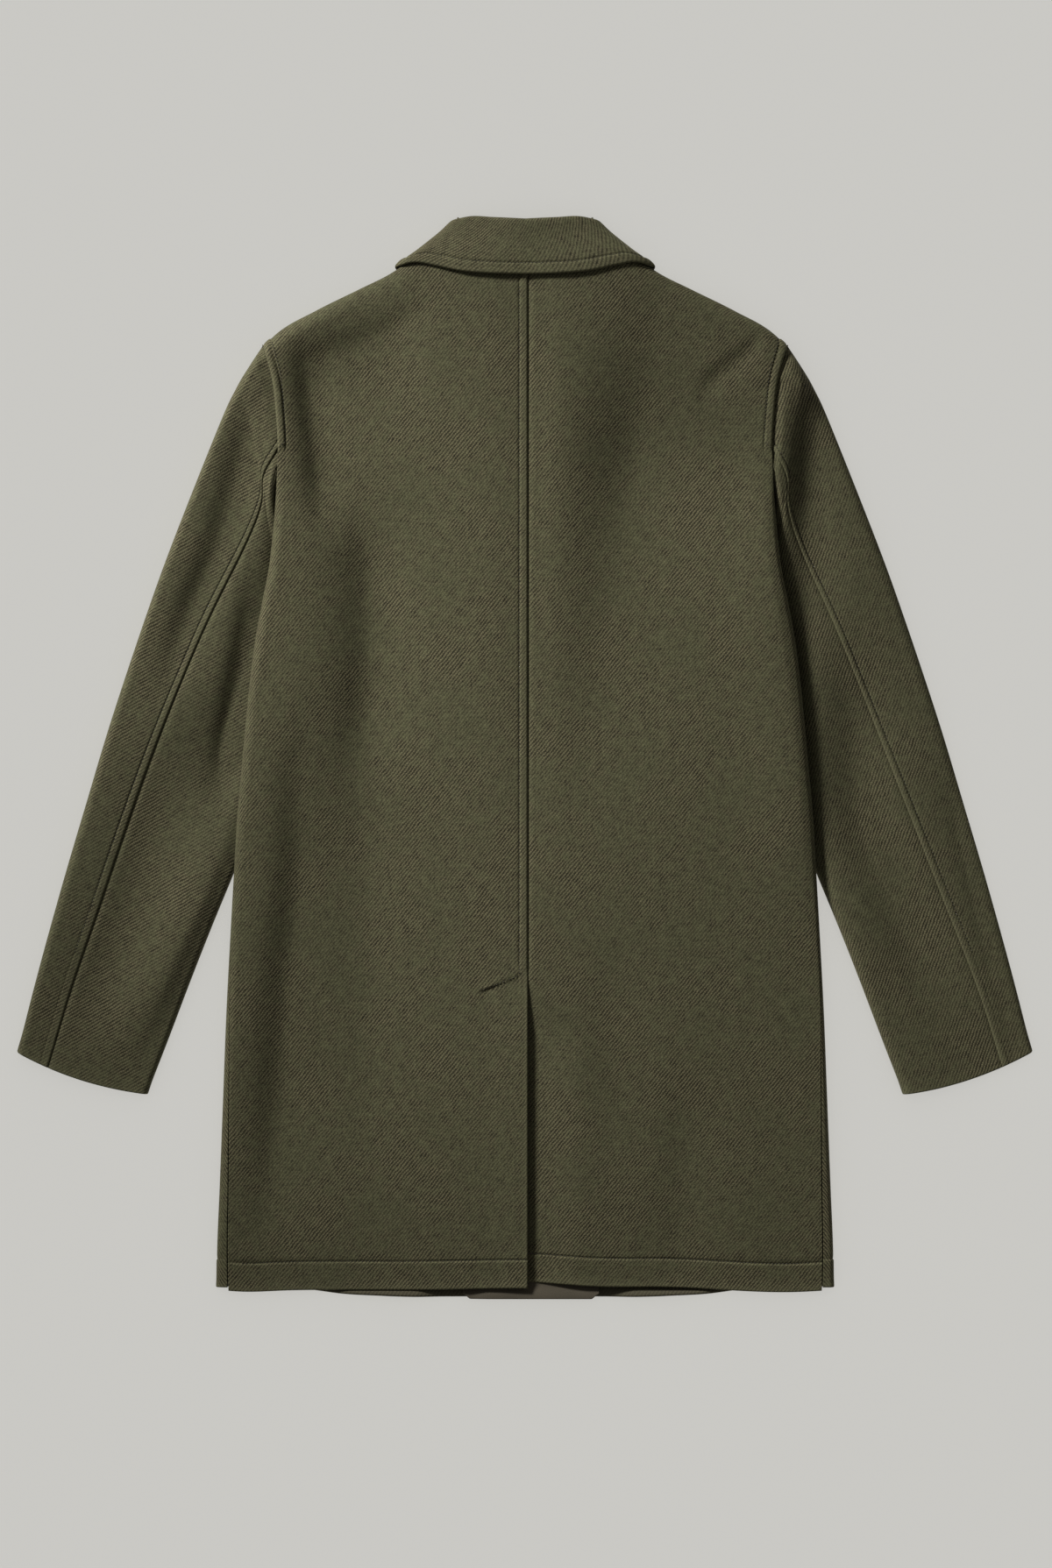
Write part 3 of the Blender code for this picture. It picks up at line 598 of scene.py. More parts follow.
def sleeve_surface(side, under):
    """Columns of a top sleeve run outwards from the elbow seam, those of an under sleeve inwards."""
    last = 2.0 * np.pi - turn_at(FOREARM_SEAM)

    def surface(u, v):
        seam, width = sleeve_seam(v, side)
        if under:
            start = turn_at(seam - ELBOW_LAP / width)
            edge = turn_at(seam + GAP / width)
            over = np.where(u < 0.0, edge + u * (edge - start), mix(edge, np.pi, u))
            angle = np.where(u < 1.0, over, mix(np.pi, last - FOREARM_GAP, u - 1.0))
        else:
            angle = np.where(u < 1.0, mix(turn_at(seam), 0.0, u), mix(0.0, last - 2.0 * np.pi, u - 1.0))
        return sleeve_point(angle, v, side, under)
    return surface


def collar_ring(s, share, inset, top_z, low_z, width, back_y, front_y, end_x):
    """Flattened neck ring: s runs from one front end (-2) over the back (0) to the other (2)."""
    side = np.where(s < 0.0, -1.0, 1.0)
    c = 1.0 - np.abs(s)
    wide = width - inset
    reach = np.where(c > 0.0, c * (wide + COLLAR_ROLL), c * (wide - end_x + COLLAR_ROLL))
    distance = folded(reach, COLLAR_ROLL)
    x = wide - distance
    rounded = cap(distance, COLLAR_RADIUS)
    j = distance / (wide - end_x)
    y = np.where(c > 0.0, back_y(share, x / wide), front_y(share, j, x))
    high = top_z(share, side * x, y) - inset
    low = low_z(share, side * x, y) + inset
    middle = mix(*COLLAR_MID, share)
    z = np.where(c > 0.0, middle + (high - middle) * rounded, middle - (middle - low) * rounded)
    return np.stack([side * x, y, z], axis=-1)


def leaf_back_y(share, k):
    roll = track(ROLL_LINE, k * ROLL_LINE[-1][0])[0]
    return mix(roll, track(LEAF_EDGE, k * LEAF_EDGE[-1][0])[0], share)


def leaf_front_y(share, j, x):
    return mix(ROLL_LINE[-1][1] - ROLL_FRONT_DROP * j, LEAF_EDGE[-1][1] - EDGE_FRONT_DROP * j, share)


def roll_top(x):
    """Top of the roll, highest at the back of the neck."""
    return ROLL_TOP - COLLAR_TENT * (np.hypot(x, COLLAR_CROWN) - COLLAR_CROWN)


def leaf_top(share, x, y):
    lift = mix(LEAF_LIFT, LEAF_END_LIFT, ease(np.abs(x), *LEAF_END_EASE))
    return mix(roll_top(x), back_height(x, np.minimum(y, LEAF_REST_Y)) + lift, smooth(share))


def leaf_low(share, x, y):
    return np.zeros_like(x)


def leaf_surface(s, reach):
    """Reach is measured along the leaf from the roll line; below zero it has turned under."""
    distance = folded(reach, ROLL_RADIUS)
    share = distance / (LEAF_LENGTH - ROLL_RADIUS)
    turn = cap(distance, ROLL_RADIUS * ROLL_ROUND) * np.where(reach < 0.0, -1.0, 1.0)
    inset = ROLL_RADIUS * (1.0 - turn)
    width = track(LEAF_WIDTH, share)[0]
    end = mix(ROLL_FRONT_END, EDGE_FRONT_END, share)
    return collar_ring(s, share, inset, leaf_top, leaf_low, width, leaf_back_y, leaf_front_y, end)


def stand_surface(s, share):
    """Share runs from the turned-under roll (0) down to the neck seam (1)."""
    start = (ROLL_TURN - ROLL_RADIUS + 2.0 * GAP) / LEAF_LENGTH
    width = mix(track(LEAF_WIDTH, start)[0] - 2.0 * ROLL_RADIUS, STAND_NECK, share)
    neck_back = BACK_NECK + ((STAND_NECK, STAND_NECK_Y),)
    neck_front = FRONT_NECK + ((STAND_NECK, STAND_NECK_Y),)

    def back_y(p, k):
        seam = track(neck_back, k * STAND_NECK)[0] + 3.0 * GAP
        return mix(leaf_back_y(start, k), seam, p)

    def front_y(p, j, x):
        seam = track(neck_front, x)[0] + 5.0 * GAP
        return mix(leaf_front_y(start, j, x) - STAND_FRONT_DROP * j, seam, p)

    def top_z(p, x, y):
        return mix(roll_top(x) - 2.0 * ROLL_RADIUS, back_height(x, np.minimum(y, STAND_REST_Y)), p)

    def low_z(p, x, y):
        return mix(2.0 * ROLL_RADIUS, front_low(x, np.minimum(y, STAND_REST_Y)), p)

    return collar_ring(s, share, np.zeros_like(s), top_z, low_z, width, back_y, front_y, ROLL_FRONT_END)


def facing(u, v):
    x = mix(FACING_LEFT, FACING_RIGHT, u)
    slant = smooth(1.0 - u / FACING_SLANT_SHARE) + smooth(1.0 - (1.0 - u) / FACING_SLANT_SHARE)
    y = mix(FACING_HEM + FACING_SLANT * slant, FACING_TOP, v)
    drop = FACING_LEFT_DROP * (1.0 - ease(x, *FACING_LEFT_EASE))
    return np.stack([x, y, FACING_BASE - drop + hem_curl(y - FACING_HEM, x)], axis=-1)


# Sewing
WELT = 0.0070
CENTRE_WELT = 0.0073
COLLAR_WELT = 0.0090
HEM_DEPTH = 0.0250
WELT_PUFF = 0.0008
GROOVE = 0.0008
GROOVE_HALF = 0.0009
EDGE_DROP = 0.0008
EDGE_RADIUS = 0.0018
HEM_LIFT = 0.0006
ARMHOLE_LOW = 0.2690
TACK = ((-0.0062, -0.1915), (-0.0393, -0.2052))
TACK_SINK = 0.0010
TACK_DENT = 0.014
TACK_STEP = 0.0016
STITCH = 0.0022
STITCH_PITCH = 0.0031
THREAD = 0.00042
# Reach of the painted sheen in from the cloth's edges
PAINTED_SHEEN_REACH = 0.003
HEM_FOLD_EASE = 0.0016
HEM_EDGE_PUFF = 0.0006
HEM_EDGE_REACH = 0.006
FRONT_HEM_SHARE = 0.6
ARMHOLE_EASE = 0.004
ARMHOLE_PUFF = 0.0011
ELBOW_PUFF = 0.0005
ELBOW_FADE = 0.75
ELBOW_FADE_RINGS = (6.5, 2.5)
CUFF_PUFF = 0.0006
CUFF_REACH = 0.012
LAST_RING = len(SLEEVE) - 1.0
RING_LENGTH = 0.07
COLLAR_FRONT = 0.07
FACING_EDGE_SHARE = 0.5
FACING_WELT_SHARE = 0.6
FACING_WELT = 0.005
FACING_PUFF = 0.0004
TACK_START = (-0.10, 0.15)
TACK_END = 1.12
TACK_END_EASE = 0.25
TACK_STEP_REACH = 0.006
TACK_STEP_EASE = (-0.0005, 0.0012)


def ladder(*runs):
    """Distances from runs of (start, stop, step)."""
    out = []
    for start, stop, step in runs:
        out.extend(np.arange(start, stop - 0.25 * step, step))
    return out + [runs[-1][1]]


def stations(near, steps, far, length):
    """Stations along an edge: near ones from its start, far ones from its end, even steps between."""
    length = np.asarray(length, float)[..., None]
    shape = length.shape[:-1]
    first = np.broadcast_to(near, shape + (len(near),))
    last = length - np.broadcast_to(far[::-1], shape + (len(far),))
    run = np.linspace(0.0, 1.0, steps + 1)[1:-1]
    middle = near[-1] + run * (length - near[-1] - far[-1])
    return np.concatenate([first, middle, last], axis=-1) / length


def round_edge(d):
    return -EDGE_DROP * (1.0 - cap(np.maximum(d, 0.0), EDGE_RADIUS))


def groove(d):
    return -GROOVE * np.exp(-(d / GROOVE_HALF) ** 2)


def welt(d, width, puff=WELT_PUFF):
    """Raised strip from a seam edge to the stitching that holds it down."""
    t = np.clip(d / width, 0.0, 1.0)
    return puff * (1.0 - (2.0 * t - 1.0) ** 4) + groove(d - width)


def near_edge(d, reach=PAINTED_SHEEN_REACH):
    return np.exp(-(np.maximum(d, 0.0) / reach) ** 2)


class Panel:
    """One cut of cloth: where its outer face lies, which way it faces, and what is sewn into it."""

    def __init__(self, surface, outward, sewing, thick=WALL):
        self.surface = surface
        self.outward = outward
        self.sewing = sewing
        self.thick = thick

    def normal(self, u, v):
        du = self.surface(u + STEP, v) - self.surface(u - STEP, v)
        dv = self.surface(u, v + STEP) - self.surface(u, v - STEP)
        cross = np.cross(du, dv)
        return self.outward * cross / np.linalg.norm(cross, axis=-1, keepdims=True)

    def faces(self, u, v):
        """Outer points, inner points, normals and the share of painted sheen near the edges."""
        base = self.surface(u, v)
        normal = self.normal(u, v)
        rise, painted_sheen, inner_rise = self.sewing(u, v, base)
        outer = base + normal * rise[..., None]
        inner = base - normal * (self.thick - inner_rise)[..., None]
        return outer, inner, normal, painted_sheen

    def cloth(self, name, u, v, grain, material):
        """Closed cloth wall: a grid on the inner face, extruded out to the outer face."""
        rows, cols = u.shape
        outer, inner, normal, painted_sheen = self.faces(u, v)
        count = rows * cols
        bm = bmesh.new()
        bmesh.ops.create_grid(bm, x_segments=cols - 1, y_segments=rows - 1, size=1.0)
        spot = bm.verts.layers.int.new("spot")
        for vert in bm.verts:
            i = round((vert.co.x + 1.0) * 0.5 * (cols - 1))
            j = round((vert.co.y + 1.0) * 0.5 * (rows - 1))
            vert[spot] = j * cols + i
        raised = bmesh.ops.extrude_face_region(bm, geom=bm.faces[:], use_keep_orig=True)
        for item in raised["geom"]:
            if isinstance(item, bmesh.types.BMVert):
                item[spot] += count
        mesh = bpy.data.meshes.new(name)
        bm.to_mesh(mesh)
        bm.free()
        spots = np.zeros(len(mesh.vertices), np.int32)
        mesh.attributes["spot"].data.foreach_get("value", spots)
        mesh.attributes.remove(mesh.attributes["spot"])
        points = np.concatenate([inner.reshape(-1, 3), outer.reshape(-1, 3)])[spots]
        mesh.vertices.foreach_set("co", points.astype(np.float32).ravel())
        corners = np.zeros(len(mesh.loops), np.int32)
        mesh.loops.foreach_get("vertex_index", corners)
        flat = grain.reshape(-1, 2)[spots % count][corners]
        mesh.uv_layers.new(name="grain").data.foreach_set("uv", flat.astype(np.float32).ravel())
        # Painted sheen: the outer face is lighter near its edges, where the nap catches the light; none on
        # the inner face
        edge_sheen = np.concatenate([0.0 * painted_sheen.ravel(), painted_sheen.ravel()])[spots]
        mesh.attributes.new("edge_sheen", "FLOAT", "POINT").data.foreach_set("value", edge_sheen.astype(np.float32))
        inside = (spots < count).astype(np.float32)
        mesh.attributes.new("inside", "FLOAT", "POINT").data.foreach_set("value", inside)
        return finish_mesh(name, mesh, material)


def finish_mesh(name, mesh, material):
    """Faces outwards, smooth, and into the scene riding on the coat."""
    bm = bmesh.new()
    bm.from_mesh(mesh)
    bmesh.ops.recalc_face_normals(bm, faces=bm.faces[:])
    bm.to_mesh(mesh)
    bm.free()
    mesh.shade_smooth()
    mesh.materials.append(material)
    piece = bpy.data.objects.new(name, mesh)
    bpy.context.scene.collection.objects.link(piece)
    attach(piece, "root")
    return piece


def run_length(points):
    """Length along a line of points, at each of them."""
    return np.concatenate([[0.0], np.cumsum(np.linalg.norm(np.diff(points, axis=0), axis=1))])


def along_run(where, length, values):
    return Vector([np.interp(where, length, values[:, axis]) for axis in range(3)])


def stitches(name, runs, material):
    """Thread lying along runs of (panel, u, v) over the finished cloth, one bead to a stitch."""
    bm = bmesh.new()
    for panel, u, v in runs:
        points, inner, normals, painted_sheen = panel.faces(u, v)
        length = run_length(points)
        for middle in np.arange(0.5 * STITCH_PITCH, length[-1] - 0.5 * STITCH_PITCH, STITCH_PITCH):
            first = along_run(middle - 0.5 * STITCH, length, points)
            last = along_run(middle + 0.5 * STITCH, length, points)
            up = along_run(middle, length, normals).normalized()
            along = last - first
            across = up.cross(along).normalized()
            centre = 0.5 * (first + last) + up * 0.5 * THREAD
            turn = Matrix((0.5 * along, across * THREAD, up * THREAD)).transposed().to_4x4()
            bead = Matrix.Translation(centre) @ turn
            bmesh.ops.create_icosphere(bm, subdivisions=1, radius=1.0, matrix=bead)
    mesh = bpy.data.meshes.new(name)
    bm.to_mesh(mesh)
    bm.free()
    return finish_mesh(name, mesh, material)


# Finishes
class Value:
    """A shader value that can be written in sums."""

    def __init__(self, tree, socket):
        self.tree = tree
        self.socket = socket

    def sum(self, operation, *values):
        node = self.tree.nodes.new("ShaderNodeMath")
        node.operation = operation
        for slot, value in zip(node.inputs, values):
            if isinstance(value, Value):
                self.tree.links.new(value.socket, slot)
            else:
                slot.default_value = value
        return Value(self.tree, node.outputs[0])

    def __add__(self, other):
        return self.sum("ADD", self, other)

    def __radd__(self, other):
        return self.sum("ADD", other, self)

    def __sub__(self, other):
        return self.sum("SUBTRACT", self, other)

    def __rsub__(self, other):
        return self.sum("SUBTRACT", other, self)

    def __mul__(self, other):
        return self.sum("MULTIPLY", self, other)

    def __rmul__(self, other):
        return self.sum("MULTIPLY", other, self)

    def __truediv__(self, other):
        return self.sum("DIVIDE", self, other)

    def sine(self):
        return self.sum("SINE", self)

    def floor(self):
        return self.sum("FLOOR", self)


class Finish:
    """A procedural material under the hand."""

    def __init__(self, name):
        self.material = bpy.data.materials.new(name)
        self.material.use_nodes = True
        self.tree = self.material.node_tree
        self.shader = self.tree.nodes["Principled BSDF"]

    def node(self, kind, settings=(), sockets=(), out=0):
        made = self.tree.nodes.new(kind)
        for key, value in dict(settings).items():
            setattr(made, key, value)
        for key, value in dict(sockets).items():
            self.feed(made.inputs[key], value)
        return Value(self.tree, made.outputs[out])

    def feed(self, slot, value):
        if isinstance(value, Value):
            self.tree.links.new(value.socket, slot)
        else:
            slot.default_value = value

    def set(self, **sockets):
        for key, value in sockets.items():
            self.feed(self.shader.inputs[key.replace("_", " ")], value)

    def noise(self, where, scale, detail=2.0, rough=0.5):
        sockets = {"Vector": where, "Scale": scale, "Detail": detail, "Roughness": rough}
        return self.node("ShaderNodeTexNoise", {}, sockets)

    def between(self, value, low, high):
        return self.node("ShaderNodeMapRange", {"interpolation_type": "SMOOTHSTEP"},
                         {"Value": value, "From Min": low, "From Max": high})

    def mix(self, share, first, second):
        return self.node("ShaderNodeMix", {"data_type": "RGBA"}, {0: share, 6: first, 7: second}, 2)

    def attribute(self, name):
        return self.node("ShaderNodeAttribute", {"attribute_name": name}, {}, 2)

    def bump(self, strength, depth, height):
        return self.node("ShaderNodeBump", {}, {"Strength": strength, "Distance": depth, "Height": height})


# Weave of the twill: spacing of the wales and of the yarns along them, and how far they stray
WALE = 0.00255
YARN = 0.0019
WALE_ANGLE = math.radians(50.0)
WANDER = 0.0020
JITTER = 0.0007
WALE_SHIFT = 0.25
BEAD_SHIFT = 2.2
BEAD_JITTER = 3.0
BEAD_DEPTH = 0.45
PATCHES = (  # patches to a metre, detail, roughness
    (110.0, 2.0, 0.5),  # wander of the wales
    (420.0, 1.0, 0.5),  # jitter of the yarns
    (1300.0, 2.0, 0.6),  # nap
    (2800.0, 2.0, 0.6),  # fibre
    (16.0, 2.0, 0.5),  # clouds of brushing
    (120.0, 2.0, 0.5),  # blotches
    (520.0, 2.0, 0.6),  # mottle
    (1050.0, 1.0, 0.5),  # pale flecks
)
SLUBS = ((520.0, 90.0, 1.0), (95.0, 470.0, 1.0))  # patches to a metre, thick yarns of warp and weft
BRUSHED_RANGE = (0.36, 0.60)
BRUSHED_LEAST = 0.20
BRUSHED_MORE = 0.75
BRUSHED_HIDES = 0.62
BRUSHED_TONE = 0.23
TINT_RANGE = (0.36, 0.64)
FLECK_RANGE = (0.70, 0.80)
FLECK_SHARE = 0.35
YARN_MEAN = 0.36
LIT_YARN = 0.92
LIT_NAP = 0.72
LIT_MOTTLE = 0.45
LIT_SLUB = 0.60
LIT_BLOTCH = 0.25
LIT_BASE = 0.335
INSIDE_SHARE = 0.75
RELIEF_YARN = 0.40
RELIEF_BRUSHED = 0.65
RELIEF_NAP = 0.60
RELIEF_SLUB = 0.30
RELIEF_FIBRE = 0.25
OLIVE = (0.197, 0.192, 0.099, 1.0)
BROWN = (0.212, 0.187, 0.104, 1.0)
# Dark end of the cloth's tone, reached by dark yarn and by the painted shade in the weave's hollows
DARK_YARN_AND_SHADE = (0.016, 0.0145, 0.0074, 1.0)
FLECK = (0.260, 0.240, 0.140, 1.0)
# Lighter nap colour painted along the edges as sheen where the nap catches the light
EDGE_SHEEN_COLOUR = (0.165, 0.158, 0.087, 1.0)
INSIDE = (0.074, 0.065, 0.043, 1.0)
WOOL_SHEEN = (0.62, 0.60, 0.42, 1.0)
FACING_DARK = (0.054, 0.046, 0.031, 1.0)
FACING_PALE = (0.096, 0.081, 0.057, 1.0)
FACING_SHEEN = (0.6, 0.55, 0.42, 1.0)
# Thread colours: the thread's darker tone plus painted shade of the stitching grooves
THREAD_DARK = (0.026, 0.023, 0.014, 1.0)
THREAD_PALE = (0.058, 0.053, 0.031, 1.0)
FLOOR_DARK = (0.6255, 0.6185, 0.5905, 1.0)
FLOOR_PALE = (0.6265, 0.6195, 0.5915, 1.0)
OBJECT_COORDS = 3


def wool_twill():
    """Brushed wool twill: diagonal wales of beaded yarn, hidden in part by nap."""
    f = Finish("wool_twill")
    grain = f.node("ShaderNodeUVMap", {"uv_map": "grain"})
    u, v = (f.node("ShaderNodeSeparateXYZ", {}, {"Vector": grain}, axis) for axis in range(2))
    wander, jitter, nap, fibre, cloud, blotch, mottle, fleck = (f.noise(grain, *row) for row in PATCHES)
    jitter = jitter - 0.5
    across = u * math.sin(WALE_ANGLE) - v * math.cos(WALE_ANGLE) + (wander - 0.5) * WANDER + jitter * JITTER
    along = u * math.cos(WALE_ANGLE) + v * math.sin(WALE_ANGLE)
    wale = (across * (2.0 * math.pi / WALE)).sine() * 0.5 + 0.5
    row = (across / WALE + WALE_SHIFT).floor()
    bead = (along * (2.0 * math.pi / YARN) + row * BEAD_SHIFT + jitter * BEAD_JITTER).sine() * 0.5 + 0.5
    yarn = wale * (bead * BEAD_DEPTH + (1.0 - BEAD_DEPTH))
    warp, weft = (f.noise(f.node("ShaderNodeMapping", {}, {"Vector": grain, "Scale": scale}), 1.0, 1.0)
                  for scale in SLUBS)
    slub = warp * 0.5 + weft * 0.5
    brushed = f.between(cloud * 0.7 + blotch * 0.3, *BRUSHED_RANGE) * BRUSHED_MORE + BRUSHED_LEAST
    showing = yarn * (1.0 - brushed * BRUSHED_HIDES) + brushed * BRUSHED_TONE
    tint = f.mix(f.between(cloud * 0.5 + blotch * 0.5, *TINT_RANGE), BROWN, OLIVE)
    # The wale term paints highlight on the yarn ridges and shade in the hollows between them; nap, mottle,
    # slubs and blotches are the cloth's own uneven tone
    lit = (showing - YARN_MEAN) * LIT_YARN + (nap - 0.5) * LIT_NAP + (mottle - 0.5) * LIT_MOTTLE
    lit = lit + (slub - 0.5) * LIT_SLUB + (blotch - 0.5) * LIT_BLOTCH + LIT_BASE
    cloth = f.mix(f.node("ShaderNodeClamp", {}, {"Value": lit}), DARK_YARN_AND_SHADE, tint)
    cloth = f.mix(f.between(fleck, *FLECK_RANGE) * FLECK_SHARE, cloth, FLECK)
    # Painted sheen: edges lighter where the nap catches the light
    cloth = f.mix(f.attribute("edge_sheen") * (nap * 0.5 + 0.10), cloth, EDGE_SHEEN_COLOUR)
    cloth = f.mix(f.attribute("inside") * INSIDE_SHARE, cloth, INSIDE)
    relief = yarn * RELIEF_YARN * (1.0 - brushed * RELIEF_BRUSHED) + nap * RELIEF_NAP
    relief = relief + slub * RELIEF_SLUB + fibre * RELIEF_FIBRE
    f.set(Base_Color=cloth, Roughness=0.84 + (nap - 0.5) * 0.2, Normal=f.bump(0.85, 0.0005, relief))
    f.set(Sheen_Weight=0.15, Sheen_Roughness=0.40, Sheen_Tint=WOOL_SHEEN, Specular_IOR_Level=0.15)
    return f.material


def facing_wool():
    """Plainer, darker wool of the facing."""
    f = Finish("facing_wool")
    grain = f.node("ShaderNodeUVMap", {"uv_map": "grain"})
    cloud = f.noise(grain, 40.0)
    fibre = f.noise(grain, 1500.0, 3.0, 0.6)
    cloth = f.mix(f.between(fibre * 0.7 + cloud * 0.3, 0.3, 0.7), FACING_DARK, FACING_PALE)
    # Painted sheen along the facing's edges
    cloth = f.mix(f.attribute("edge_sheen") * 0.25, cloth, EDGE_SHEEN_COLOUR)
    f.set(Base_Color=cloth, Roughness=0.80 + (cloud - 0.5) * 0.2, Normal=f.bump(0.5, 0.0004, fibre))
    f.set(Sheen_Weight=0.2, Sheen_Roughness=0.4, Sheen_Tint=FACING_SHEEN, Specular_IOR_Level=0.2)
    return f.material


def tonal_thread_painted_shade():
    """Thread a little darker than the cloth: a darker tonal thread, darkened further as painted shade of the
    groove it lies in.
    """
    f = Finish("tonal_thread_painted_shade")
    ply = f.noise(f.node("ShaderNodeTexCoord", {}, {}, OBJECT_COORDS), 1800.0)
    colour = f.mix(f.between(ply, 0.35, 0.65), THREAD_DARK, THREAD_PALE)
    f.set(Base_Color=colour, Roughness=0.65 + (ply - 0.5) * 0.2, Normal=f.bump(0.6, 0.0002, ply))
    return f.material


def pale_floor():
    """Matt pale paper."""
    f = Finish("pale_floor")
    grain = f.noise(f.node("ShaderNodeTexCoord", {}, {}, OBJECT_COORDS), 260.0, 3.0)
    colour = f.mix(f.between(grain, 0.3, 0.7), FLOOR_DARK, FLOOR_PALE)
    f.set(Base_Color=colour, Roughness=0.95 + (grain - 0.5) * 0.05)
    f.set(Specular_IOR_Level=0.0)
    return f.material


# What is sewn into each cut of cloth: rise of the outer face, painted sheen near its edges, and rise of the
# inner face
def no_sewing(u, v, point):
    zero = np.zeros(np.broadcast(u, v).shape)
    return zero, zero, zero


def whole(painted_sheen):
    return np.clip(painted_sheen, 0.0, 1.0)


def hem_rise(hem, across, along, first):
    """Distance up from a hem's edge, whose table is read from this first place to the side."""
    return along - track(hem, np.clip(across, first, HEM_SIDE))[0]


def hem_sewing(rise):
    """Turned hem: double cloth below its stitching, and a rolled lower edge."""
    lift = HEM_LIFT * smooth((HEM_DEPTH - rise) / HEM_FOLD_EASE)
    edge = HEM_EDGE_PUFF * near_edge(rise, HEM_EDGE_REACH)
    return lift + groove(rise - HEM_DEPTH) + round_edge(rise) + edge


def armhole_sewing(d, y):
    """Welt along the armhole, down to the underarm, and where it is held."""
    held = ease(y, ARMHOLE_LOW, ARMHOLE_EASE)
    return held * (welt(d, WELT, ARMHOLE_PUFF) + round_edge(d)), held


def tack_sewing(x, y):
    """Slanted bar of stitching at the top of the vent: a step above it in a shallow dent."""
    (x0, y0), (x1, y1) = TACK
    length = math.hypot(x1 - x0, y1 - y0)
    ux, uy = (x1 - x0) / length, (y1 - y0) / length
    along = ((x - x0) * ux + (y - y0) * uy) / length
    above = (x - x0) * uy - (y - y0) * ux
    taper = ease(along, *TACK_START) * smooth((TACK_END - along) / TACK_END_EASE)
    dent = TACK_SINK * np.exp(-np.abs(above) / TACK_DENT)
    step = TACK_STEP * np.exp(-np.maximum(above, 0.0) / TACK_STEP_REACH) * ease(above, *TACK_STEP_EASE)
    return taper * (step - dent)


def back_left_sewing(u, v, point):
    across, along = back_left_flat(u, v)
    x, y = point[..., 0], point[..., 1]
    d = across + CB_X
    rise = hem_rise(BACK_HEM_LEFT, across, along, 0.0)
    edge = outer_edge(along, 1.0) - across
    closed = ease(y, VENT_TOP, VENT_CLOSE)
    arm, held = armhole_sewing(edge, y)
    total = closed * welt(d, CENTRE_WELT) + round_edge(d) + hem_sewing(rise) + arm + tack_sewing(x, y)
    painted_sheen = near_edge(d) + near_edge(rise) + held * near_edge(edge)
    return total, whole(painted_sheen), -round_edge(d) - round_edge(rise)


def back_right_sewing(u, v, point):
    across, along = back_right_flat(u, v)
    rise = hem_rise(BACK_HEM_RIGHT, across, along, BACK_HEM_RIGHT[0][0])
    edge = outer_edge(along, 1.0) - across
    arm, held = armhole_sewing(edge, point[..., 1])
    painted_sheen = near_edge(rise) + held * near_edge(edge)
    return hem_sewing(rise) + arm, whole(painted_sheen), -round_edge(rise)


def front_sewing(u, v, point):
    across, along = front_flat(u, v)
    rise = hem_rise(FRONT_HEM, across, along, FRONT_HEM[0][0])
    d = across + FRONT_EDGE
    total = round_edge(d) + hem_sewing(rise) * FRONT_HEM_SHARE
    return total, whole(near_edge(rise) + near_edge(d)), -round_edge(d) - round_edge(rise)


def cuff_distance(v):
    return (LAST_RING - v) * RING_LENGTH


def sleeve_top_sewing(side):
    def sewing(u, v, point):
        seam, width = sleeve_seam(v, side)
        angle = np.where(u < 1.0, mix(turn_at(seam), 0.0, u), 0.0)
        d = (seam - 0.5 * (1.0 - np.cos(angle))) * width
        cuff = cuff_distance(v)
        fade = 1.0 - ELBOW_FADE * ease(v, *ELBOW_FADE_RINGS)
        total = fade * welt(d, WELT, ELBOW_PUFF) * (u < 1.0) + round_edge(d) + round_edge(cuff)
        total = total + CUFF_PUFF * near_edge(cuff, CUFF_REACH)
        return total, whole(near_edge(d) + near_edge(cuff)), -round_edge(d) - round_edge(cuff)
    return sewing


def sleeve_under_sewing(u, v, point):
    cuff = cuff_distance(v) + np.zeros_like(u)
    total = round_edge(cuff) + CUFF_PUFF * near_edge(cuff, CUFF_REACH)
    return total, near_edge(cuff), -round_edge(cuff)


def leaf_sewing(s, reach, point):
    edge = LEAF_LENGTH - reach
    front = (2.0 - np.abs(s)) * COLLAR_FRONT
    total = welt(edge, COLLAR_WELT) + round_edge(edge) + round_edge(front)
    return total, whole(near_edge(edge) + near_edge(front)), -round_edge(edge) - round_edge(front)


def facing_sewing(u, v, point):
    side = np.minimum(u, 1.0 - u) * (FACING_RIGHT - FACING_LEFT)
    low = v * (FACING_TOP - FACING_HEM)
    rolled = FACING_EDGE_SHARE * (round_edge(side) + round_edge(low))
    total = rolled + FACING_WELT_SHARE * welt(side, FACING_WELT, FACING_PUFF)
    return total, whole(near_edge(side) + near_edge(low)), 0.0 * side


# Stations of the cloth: runs of (start, stop, step) from an edge, and counts of even steps between
FINE_EDGE = ((0.0, 0.0018, 0.0006), (0.0018, 0.0060, 0.0012), (0.0060, 0.0090, 0.0005))
CENTRE_COLS = ladder(*FINE_EDGE, (0.0090, 0.0460, 0.0018))
PLAIN_COLS = ladder((0.0, 0.0140, 0.0020), (0.0140, 0.0300, 0.0030))
SIDE_COLS = ladder(*FINE_EDGE, (0.0090, 0.0300, 0.0014))
LAP_COLS = np.linspace(-1.0, 0.0, 12)[:-1]
SHOULDER_ROWS = ladder((0.0, 0.0500, 0.0025))
HEM_ROWS = ladder((0.0, 0.0018, 0.0006), (0.0018, 0.0228, 0.0030), (0.0228, 0.0276, 0.0006),
                  (0.0276, 0.0400, 0.0031))
TACK_ROWS = np.arange(0.640, 0.690, 0.0009)
BACK_LENGTH = 0.9100
LEFT_STEPS = 52
RIGHT_STEPS = 62
FRONT_STEPS = 56
BACK_ROW_STEPS = 262
FRONT_ROW_STEPS = 150
CUFF_RINGS = np.array(ladder((0.0, 0.026, 0.0085), (0.026, 0.100, 0.020)))
